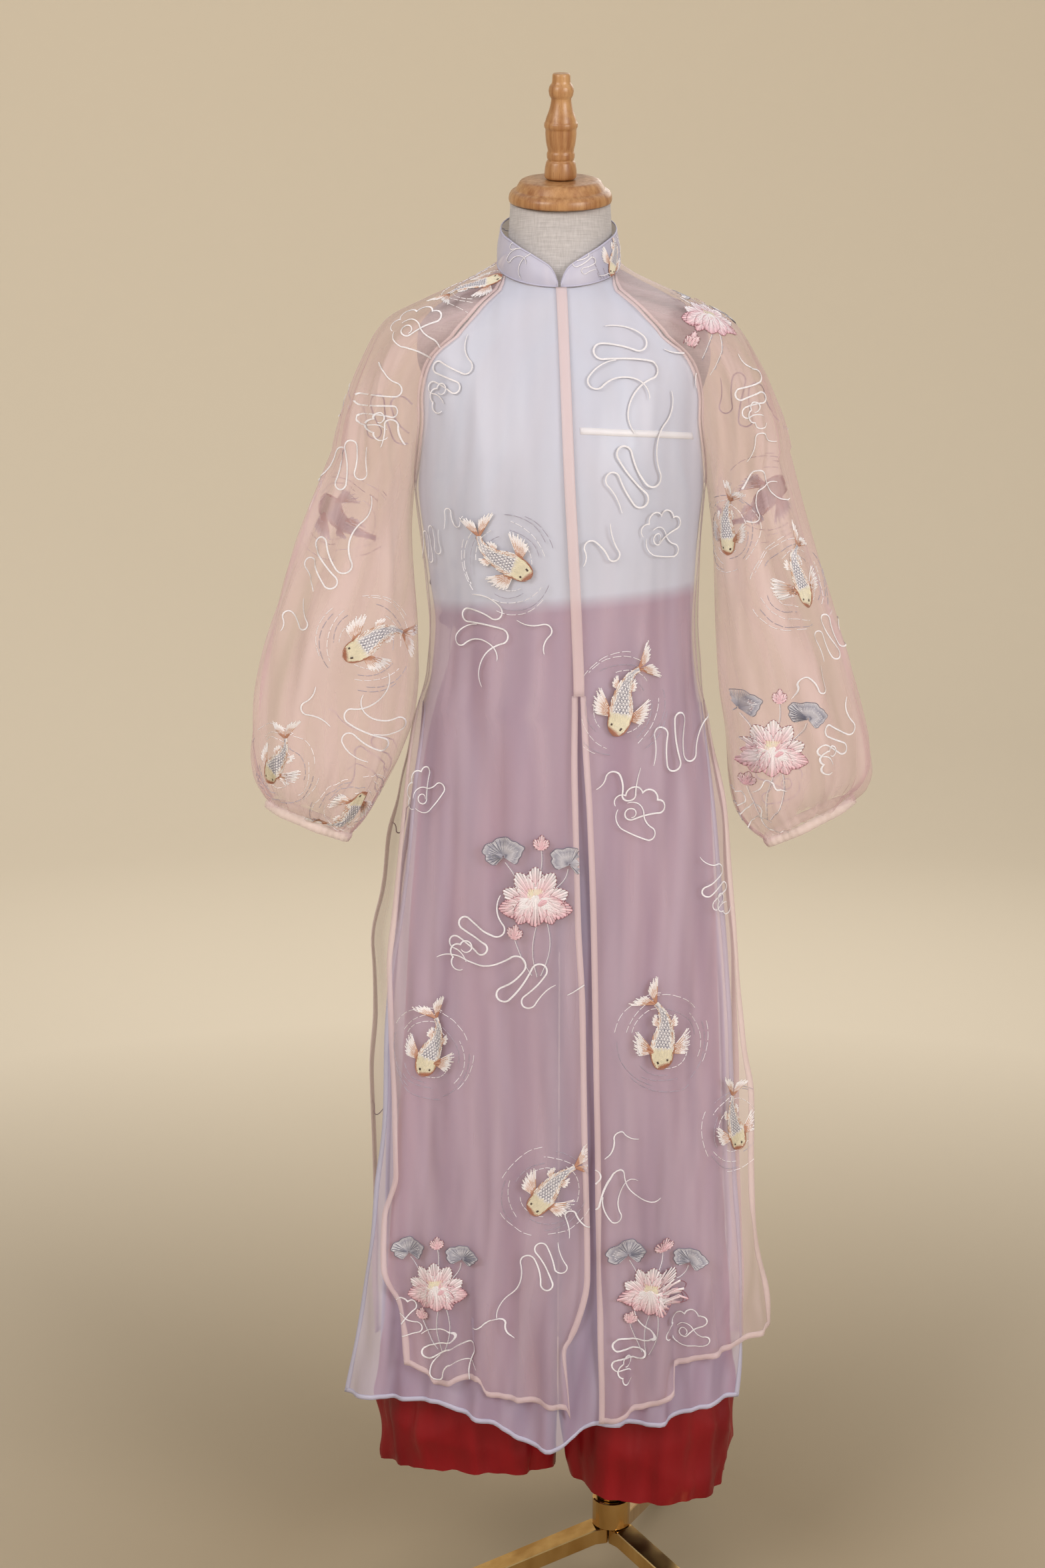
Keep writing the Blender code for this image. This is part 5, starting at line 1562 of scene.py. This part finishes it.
def koi(bend, seed):
    """A carp from above in its ripples, nose towards +X, with the middle of its body at the origin."""
    rng = np.random.default_rng(seed)
    made = Drawing()
    ripples(made, rng)
    steps = np.linspace(0.0, 1.0, KOI_POINTS)
    turns = math.pi + bend * np.sin(steps * math.pi * 1.15)
    way = np.stack([np.cos(turns), np.sin(turns)], axis=1)
    along = np.cumsum(way[:-1] + way[1:], axis=0) / 2 / (KOI_POINTS - 1)
    spine = np.concatenate([[[0.0, 0.0]], along]) * KOI_LENGTH
    spine = spine - spine[KOI_MIDDLE]

    def on(s, t):
        """The point at share s from the nose, and t lengths to its left."""
        s = np.asarray(s, float)
        t = np.asarray(t, float)
        x = np.interp(s, steps, spine[:, 0])
        y = np.interp(s, steps, spine[:, 1])
        a = np.interp(s, steps, turns)
        return np.stack([x - np.sin(a) * t * KOI_LENGTH, y + np.cos(a) * t * KOI_LENGTH], axis=-1)

    for side in (-1, 1):
        for s, t, reach, heading, spread, count, lead in KOI_FINS:
            flank = math.degrees(np.interp(s, steps, turns))
            fan(made, on(s, side * t), KOI_LENGTH * reach, flank + side * heading, spread, count, side * lead)
    rows = np.arange(0.0, 0.985, KOI_ROW)
    half = KOI_BODY.read("half", rows)
    for number, (s, h) in enumerate(zip(rows, half)):
        across = np.arange(-1.0, 1.01, KOI_ACROSS / h)
        across = across + (0.5 * KOI_ACROSS / h if number % 2 else 0.0)
        across = across[np.abs(across) <= 1.0]
        edge = np.abs(across)
        odd = rng.uniform(0.0, 1.0, len(across))
        back = (edge < KOI_BACK) & (s > 0.27)
        head = s < KOI_HEAD + 0.06 * odd
        tone = np.where(back[:, None], THREADS["pearl"], THREADS["cream"])
        for spots, name in (
            (~back & (odd > 0.62) & (edge > 0.70), "ochre"),
            (back & (odd > 0.80), "slate"),
            (head, "straw"),
            (head & ((s < 0.04) | (edge > 0.84 + 0.2 * odd)), "brown"),
        ):
            tone = np.where(spots[:, None], THREADS[name], tone)
        tone = tone * rng.uniform(0.84, 1.06, len(across))[:, None]
        behind = on(np.full(len(across), s + KOI_STITCH), across * h * 1.04)
        made.stitch(on(np.full(len(across), s), across * h), behind, FIN_STITCH, tone)
    scales(made, on)
    for side in (-1, 1):
        line = np.linspace(0.0, 0.3, 16)
        made.running(on(line, side * KOI_BODY.read("half", line)), EDGE_STITCH, THREADS["brown"])
        made.stitch(on(0.095, side * 0.070), on(0.130, side * 0.076), 0.0022, THREADS["ink"])
    return made


def scales(drawing, on):
    """Small dark scallops over the carp's back, with a pale thread in each."""
    for number, s in enumerate(np.arange(0.31, 0.86, 0.042)):
        h = float(KOI_BODY.read("half", s)) * KOI_BACK
        centres = np.arange(-h, h + 1e-6, SCALE_STEP) + (SCALE_STEP / 2 if number % 2 else 0.0)
        for t in centres[np.abs(centres) <= h]:
            turn = np.radians(np.linspace(-85.0, 85.0, 6))
            line = on(s + SCALE_LENGTH * np.cos(turn), t + SCALE_HALF * np.sin(turn))
            drawing.running(line, SCALE_EDGE, THREADS["steel"])
            drawing.stitch(on(s - 0.004, t), on(s + 0.022, t), SCALE_STITCH, THREADS["white"])


def ripples(drawing, rng):
    """Broken rings of thin stitches, white and grey."""
    for number, radius in enumerate(RIPPLES):
        start = rng.uniform(0.0, 360.0)
        for part in range(3):
            low = start + part * 120 + rng.uniform(0, 30)
            high = low + rng.uniform(45, 85)
            turn = np.radians(np.arange(low, high, 2.6))
            swell = radius * KOI_LENGTH * (1 + 0.03 * np.sin(3 * turn + radius * 20))
            line = np.stack([swell * np.cos(turn), swell * 0.94 * np.sin(turn)], axis=1)
            tone = "mist" if (number + part) % 2 else "white"
            drawing.running(line, FINE_STITCH, THREADS[tone], skip=5)


def petal(drawing, x, y, heading, length, width, tones, count=17):
    """A round-tipped petal of threads fanned out from its root, edged with a darker one."""
    a = math.radians(heading)
    ahead = np.array([math.cos(a), math.sin(a)])
    side = np.array([-ahead[1], ahead[0]])
    root = np.array([x, y])
    phi = np.radians(np.linspace(-142.0, 142.0, count))
    point = 1.0 + 0.10 * np.exp(-((phi / 0.35) ** 2))
    rim = root + np.outer(length * (0.53 + 0.47 * np.cos(phi) * point), ahead)
    rim = rim + np.outer(width / 2 * np.sin(phi), side)
    tones = [np.array(THREADS[tone]) for tone in tones]
    shade = np.where(np.arange(count) % 2, PETAL_SHADE, 1.0)[:, None]
    for low, high in PETAL_RAYS:
        first = (tones[0] + (tones[1] - tones[0]) * low**2) * shade
        last = (tones[0] + (tones[1] - tones[0]) * high**2) * shade
        ends = root + (rim - root) * low, root + (rim - root) * high
        drawing.stitch(*ends, width / count * 2.1, first, last)
    drawing.running(rim, EDGE_STITCH, tones[2])


PETAL_TONES = {
    "pale": ("rose", "white", "wine"),
    "warm": ("white", "rose", "wine"),
    "bud": ("rose", "blush", "wine"),
}


def lotus():
    """An open lotus from the side, with its leaves, buds and stems."""
    made = Drawing()
    for start, end, bow in LOTUS_STEMS:
        run = np.linspace(0.0, 1.0, 40)
        line = np.outer(1 - run, start) + np.outer(run, end)
        line[:, 0] += bow * np.sin(math.pi * run)
        made.running(line, FINE_STITCH, THREADS["white"])
        made.running(line + [0.0013, 0.0], 0.0007, THREADS["mist"], skip=4)
    for place in LOTUS_LEAVES:
        leaf(made, *place)
    for x, y, heading, length, width, tones in LOTUS_PETALS:
        petal(made, x, y, heading, length, width, PETAL_TONES[tones])
    for row in range(3):
        for x in np.linspace(-0.010, 0.010, 13) * (1 - 0.12 * row):
            low = 0.002 + 0.0045 * row
            made.stitch((x * 0.9, low), (x, low + 0.0062), 0.0016, THREADS["straw"])
    for x in np.linspace(-0.009, 0.009, 8):
        made.stitch((x, 0.0150), (x * 1.15, 0.0185), EDGE_STITCH, THREADS["ochre"])
    for x, y, heading, length, width, tones in LOTUS_FRONT:
        petal(made, x, y, heading, length, width, PETAL_TONES[tones])
    for x, y, heading in LOTUS_BUDS:
        for spread, length in ((-34.0, 0.013), (34.0, 0.013), (0.0, 0.016)):
            petal(made, x, y, heading + spread, length, 0.0090, PETAL_TONES["bud"], 9)
    return made


def leaf(drawing, x, y, width, height, turn):
    """A notched fan of a leaf with threads out from its foot, dark in the middle, and a wavy pale rim."""
    around = np.radians(np.linspace(-62.0, 242.0, 66))
    wavy = 1.0 + 0.07 * np.sin(5 * around + 0.6) + 0.035 * np.sin(11 * around)
    a = math.radians(turn)
    flat = np.stack([np.cos(around) * width / 2 * wavy, np.sin(around) * height / 2 * wavy], axis=1)
    rim = flat @ np.array([[math.cos(a), math.sin(a)], [-math.sin(a), math.cos(a)]]) + [x, y]
    foot = np.array([x, y - height * 0.18])
    rays = rim - foot
    for low, high, first, last in LEAF_RAYS:
        drawing.stitch(foot + rays * low, foot + rays * high, LEAF_STITCH, THREADS[first], THREADS[last])
    for k, low, tone in LEAF_VEINS:
        drawing.stitch(foot + rays[k::3] * low, foot + rays[k::3] * 0.98, FINE_STITCH, THREADS[tone])
    drawing.running(foot + rays * 1.03, FINE_STITCH, THREADS["steel"])


MOTIFS = {"lotus": lotus()}
MOTIFS.update({kind: koi(*shape) for kind, shape in KOI_SHAPES.items()})
MOTIFS.update({kind: cloud(kind) for kind in CLOUDS})


def embroider(patch, rows_of_places, finish):
    """The motifs placed on one piece of cloth, as raised stitches."""
    chosen = []
    for kind, x, z, facing, turn, size in rows_of_places:
        drawn = MOTIFS[kind].all(turn, size)
        start, fits = patch.lay(drawn[:, 0:2], x, z, facing)
        end, too = patch.lay(drawn[:, 2:4], x, z, facing)
        keep = fits & too
        if keep.any():
            chosen.append(np.concatenate([start[keep], end[keep], drawn[keep, 4:]], axis=1))
    rows = np.concatenate(chosen)
    a, up_a = patch.at(rows[:, 0:2])
    b, up_b = patch.at(rows[:, 2:4])
    side = unit(np.cross(b - a, up_a)) * rows[:, 4:5] / 2
    low = rows[:, 11:12] + STITCH_FOOT
    high = rows[:, 11:12] + STITCH_RISE
    corners = []
    for end, up in ((a, up_a), (b, up_b)):
        corners += [end - side + up * low, end + up * high, end + side + up * low]
    corners = np.stack(corners, axis=1)
    first = np.arange(len(rows))[:, None] * 6
    faces = np.concatenate([first + [0, 3, 4, 1], first + [1, 4, 5, 2]])
    made = new_piece("embroidery_" + patch.name, corners.reshape(-1, 3), faces, finish, smooth=False)
    tints = np.ones((len(rows), 6, 4), np.float32)
    tints[:, :3, :3] = rows[:, None, 5:8]
    tints[:, 3:, :3] = rows[:, None, 8:11]
    layer = made.data.attributes.new("Tint", "FLOAT_COLOR", "POINT")
    layer.data.foreach_set("color", tints.ravel())
    return made


# Pieces


def ride(made, nodes=()):
    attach(made, "root")
    if nodes:
        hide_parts(*nodes)
    return made


def level_row(level):
    return int(np.argmin(np.abs(ROBE_LEVELS - level)))


def make_panel(panel, ease, crumple, hem_width, cloth, fold, slot):
    """One panel of a robe with its folded hem and free edges, and the outer robe's raglan and side seams."""
    name, node, spans, columns, hem, seed, centre_edge = panel
    patch = robe_patch(name, spans, columns, ease, hem, seed, crumple)
    made = ride(cloth_piece(patch, cloth), [node])
    strips = [edge_band(patch, ROW, True, hem_width)]
    for last in (False, True):
        top = CLOSURE_END if last == centre_edge else SLIT_TOP
        strips.append(edge_band(patch, COLUMN, last, hem_width, (level_row(top), patch.rows - 1)))
        if ease is outer_ease and last != centre_edge:
            strips.append(edge_band(patch, COLUMN, last, SEAM_WIDTH, (0, level_row(UNDERARM))))
            span = (level_row(UNDERARM), level_row(SLIT_TOP))
            strips.append(edge_band(patch, COLUMN, last, SIDE_SEAM_WIDTH, span))
    return patch, made, ride(ribbon(name + "_hems", strips, fold))


def make_outer_robe(pink, pink_fold, threads):
    robe = (outer_ease, CRUMPLE_OUTER, OUTER_HEM, pink, pink_fold, "pink_organza")
    for panel in (
        ("robe_front_right", "outer_front_right", front_right_spans, 56, "outer", 1.0, True),
        ("robe_front_left", "outer_front_left", front_left_spans, 56, "outer", 2.0, False),
        ("robe_back", "outer_back", back_spans("outer"), 110, "outer_back", 3.0, None),
    ):
        patch, made, hems = make_panel(panel, *robe)
        stitched = ride(embroider(patch, PLACES[patch.name], threads))


def make_inner_robe(lilac, lilac_fold, tuck_cloth):
    robe = (no_ease, CRUMPLE_INNER, INNER_HEM, lilac, lilac_fold, "lilac_organza")
    for panel in (
        ("under_robe_front", "inner_front", front_spans, 110, "inner", 5.0, None),
        ("under_robe_back", "inner_back", back_spans("inner"), 100, "inner_back", 6.0, None),
    ):
        patch, made, hems = make_panel(panel, *robe)
        if patch.name == "under_robe_front":
            ride(ribbon("chest_tuck", [tuck(patch)], tuck_cloth))


def tuck(patch):
    """A narrow stitched tuck across the wearer's left chest."""
    low, high = (patch.nearest(x, z, -1) for x, z in TUCK_ENDS)
    places = low + np.linspace(0.0, 1.0, 40)[:, None] * (high - low)
    return band_lines(patch, places, np.array([TUCK_WIDTH / ROW_STEP, 0.0]), 0.0007, 0.0004)


def make_sleeves(pink, pink_fold, threads):
    for name, side, tube in (("right", -1, SLEEVE_RIGHT), ("left", 1, SLEEVE_LEFT)):
        patch = sleeve_patch("sleeve_" + name + "_cloth", side, tube)
        made = ride(cloth_piece(patch, pink), ["sleeve_" + name])
        heads = len(YOKE_LEVELS) - 2
        strips = [edge_band(patch, COLUMN, last, SEAM_WIDTH, (0, heads)) for last in (False, True)]
        seams = ride(ribbon("sleeve_" + name + "_seams", strips, pink_fold))
        stitched = ride(embroider(patch, PLACES["sleeve_" + name], threads))
        cuff = cuff_patch("cuff_" + name + "_cloth", side, tube)
        strips = [edge_band(cuff, ROW, False, CUFF_HEIGHT - SEAM, rise=0.0008, thick=0.0006)]
        band = ride(ribbon("cuff_" + name + "_band", strips, pink_fold), ["cuff_" + name])


def make_collar_and_placket(lilac_fold, pink_fold, threads):
    patch = collar_patch()
    made = ride(cloth_piece(patch, lilac_fold), ["collar"])
    strips = [edge_band(patch, *edge, rise=COLLAR_EDGE_RISE) for edge in COLLAR_EDGES]
    edge = ride(ribbon("collar_edges", strips, lilac_fold))
    stitched = ride(embroider(patch, PLACES["collar"], threads))
    levels = ROBE_LEVELS[ROBE_LEVELS >= CLOSURE_END - 1e-6].copy()
    levels[0] -= PLACKET_LOWERED
    lines = []
    for share, proud in PLACKET_SECTION + ((0.0, -PLACKET_BACK),):
        x = CENTRE.read("right", levels) + share * PLACKET_HALF_WIDTH
        points, normals = robe_row(angle_at(x, levels), levels, lambda z: outer_ease(z) + PLACKET_PROUD)
        lines.append(points + normals * proud)
    ride(ribbon("placket_band", [lines], pink_fold), ["front_placket"])


def make_trousers(red):
    for name, side, table in (("right", -1, TROUSERS_RIGHT), ("left", 1, TROUSERS_LEFT)):
        patch = leg_patch("trouser_" + name + "_cloth", side, table)
        made = ride(cloth_piece(patch, red), ["trouser_leg_" + name])
    lines = []
    angles = np.linspace(0.0, 2 * math.pi, 121)
    right, left = TROUSERS_RIGHT.rows[-1], TROUSERS_LEFT.rows[-1]
    for rise in np.linspace(WAISTBAND_HEIGHT, 0.0006, 7):
        x = (left[1] + right[1]) / 2 + (left[1] - right[1]) / 2 * np.sin(angles)
        y = (right[4] - right[3]) / 2 - (right[4] + right[3]) / 2 * np.cos(angles)
        lines.append(np.stack([x, y, TROUSERS_TOP + rise + waist_rise(x, TROUSERS_TOP)], axis=-1))
    joined = range(len(lines))
    patch = Patch("waistband_cloth", lines, grid_normals(lines, joined), joined)
    made = ride(cloth_piece(patch, red), ["waistband"])


def make_form(cover):
    """The padded form, with finer rings than the solid's."""
    levels = np.linspace(FORM.rows[0, 0], FORM.rows[-1, 0], FORM_ROWS)
    angles = np.linspace(0.0, 2 * math.pi, FORM_COLUMNS + 1)[:-1]
    lines = []
    for level in levels[::-1]:
        slim = FORM_INSET * smoothstep((NECK - level) / 0.02)
        half = FORM.read("half", level) - slim
        depth = np.where(np.cos(angles) > 0, FORM.read("front", level), FORM.read("back", level)) - slim
        x = LEAN * max(0.0, NECK - level) + half * np.sin(angles)
        z = level - FORM.read("tilt", level) * np.cos(angles)
        lines.append(np.stack([x, -depth * np.cos(angles), z], axis=-1))
    points = np.concatenate(lines)
    top = list(range(FORM_COLUMNS))
    bottom = [len(points) - 1 - c for c in range(FORM_COLUMNS)]
    faces = ring_faces(FORM_ROWS, FORM_COLUMNS) + [top, bottom]
    made = ride(new_piece("form_cover", points, faces, cover), ["dress_form"])


def make_wood(wood):
    up = np.array([0.0, -math.sin(NECK_TILT), math.cos(NECK_TILT)])
    foot = np.array([0.0, 0.0, NECK_TOP]) + up * CAP_GAP
    turn = (NECK_TILT, 0.0, 0.0)
    ride(lathe("cap_wood", CAP_PROFILE, wood, 112, foot, turn), ["neck_cap"])
    foot = foot + up * (CAP_PROFILE[0][1] + WOOD_GAP)
    ride(lathe("finial_wood", FINIAL_PROFILE, wood, 96, foot, turn), ["neck_finial"])


def finish_stand(metal, bronze, black):
    for name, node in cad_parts.items():
        for start, finish in (("base_leg", metal), ("hub", metal), ("pole", bronze), ("foot", black)):
            if name.startswith(start):
                node.data.materials.clear()
                node.data.materials.append(finish)


# Studio


def make_studio():
    profile = [(0.0, 0.0), (FLOOR_FLAT, 0.0)]
    turns = np.radians(np.linspace(6.0, 90.0, 15))
    profile += [(FLOOR_FLAT + COVE * math.sin(a), COVE * (1 - math.cos(a))) for a in turns]
    profile += [(FLOOR_FLAT + COVE, WALL_TOP)]
    around = np.linspace(0.0, 2 * math.pi, STUDIO_SIDES + 1)[:-1]
    points = [(0.0, 0.0, FLOOR_DROP)]
    for r, z in profile[1:]:
        points += [(r * math.cos(a), r * math.sin(a), z + FLOOR_DROP) for a in around]
    faces = [(0, 1 + i, 1 + (i + 1) % STUDIO_SIDES) for i in range(STUDIO_SIDES)]
    faces += ring_faces(len(profile) - 1, STUDIO_SIDES, 1)
    mesh = bpy.data.meshes.new("studio")
    mesh.from_pydata(points, [], faces)
    mesh.polygons.foreach_set("use_smooth", [True] * len(mesh.polygons))
    mesh.materials.append(floor_with_painted_shadow())
    floor = bpy.data.objects.new("studio", mesh)
    bpy.context.scene.collection.objects.link(floor)


def add_light(name, place, target, size, power, tone):
    lamp = bpy.data.lights.new(name, "AREA")
    lamp.shape = "RECTANGLE"
    lamp.size, lamp.size_y = size
    lamp.energy = power
    lamp.color = tone
    made = bpy.data.objects.new(name, lamp)
    made.location = place
    made.rotation_euler = (Vector(target) - Vector(place)).to_track_quat("-Z", "Y").to_euler()
    bpy.context.scene.collection.objects.link(made)


def make_light():
    world = bpy.data.worlds.new("studio_air")
    bpy.context.scene.world = world
    world.use_nodes = True
    air = world.node_tree.nodes["Background"]
    air.inputs["Color"].default_value = AIR_TONE
    air.inputs["Strength"].default_value = AIR_STRENGTH
    for light in LIGHTS:
        add_light(*light)


def make_camera():
    lens = bpy.data.cameras.new("camera")
    lens.lens = CAMERA_LENS
    lens.sensor_width = CAMERA_SENSOR
    made = bpy.data.objects.new("camera", lens)
    made.location = Vector(CAMERA_PLACE) + Vector(SHIFT)
    made.rotation_euler = (math.radians(90.0 - CAMERA_DOWN), 0.0, 0.0)
    bpy.context.scene.collection.objects.link(made)
    bpy.context.scene.camera = made


def main():
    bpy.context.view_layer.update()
    make_studio()
    make_light()
    make_camera()
    pink, pink_sleeve, pink_fold, lilac, lilac_fold, tuck_cloth = [
        sheer(name, colour(*light), colour(*deep), opacity, roughness, lit_chest, swing)
        for name, light, deep, opacity, roughness, lit_chest, swing in SHEER_CLOTHS
    ]
    threads = thread()
    make_outer_robe(pink, pink_fold, threads)
    make_inner_robe(lilac, lilac_fold, tuck_cloth)
    make_sleeves(pink_sleeve, pink_fold, threads)
    make_collar_and_placket(lilac_fold, pink_fold, threads)
    make_trousers(satin("red_satin_cloth", colour(146, 28, 34), colour(112, 16, 24)))
    make_form(linen())
    make_wood(turned_wood())
    polished = gold("polished_gold", colour(216, 182, 124), colour(186, 148, 92), 0.16)
    bronze = gold("pole_bronze", colour(120, 92, 52), colour(92, 70, 40), 0.28)
    finish_stand(polished, bronze, rubber())
    scene = bpy.context.scene
    scene.view_settings.view_transform = "Standard"
    for setting, value in LIGHT_PATHS.items():
        setattr(scene.cycles, setting, value)


main()
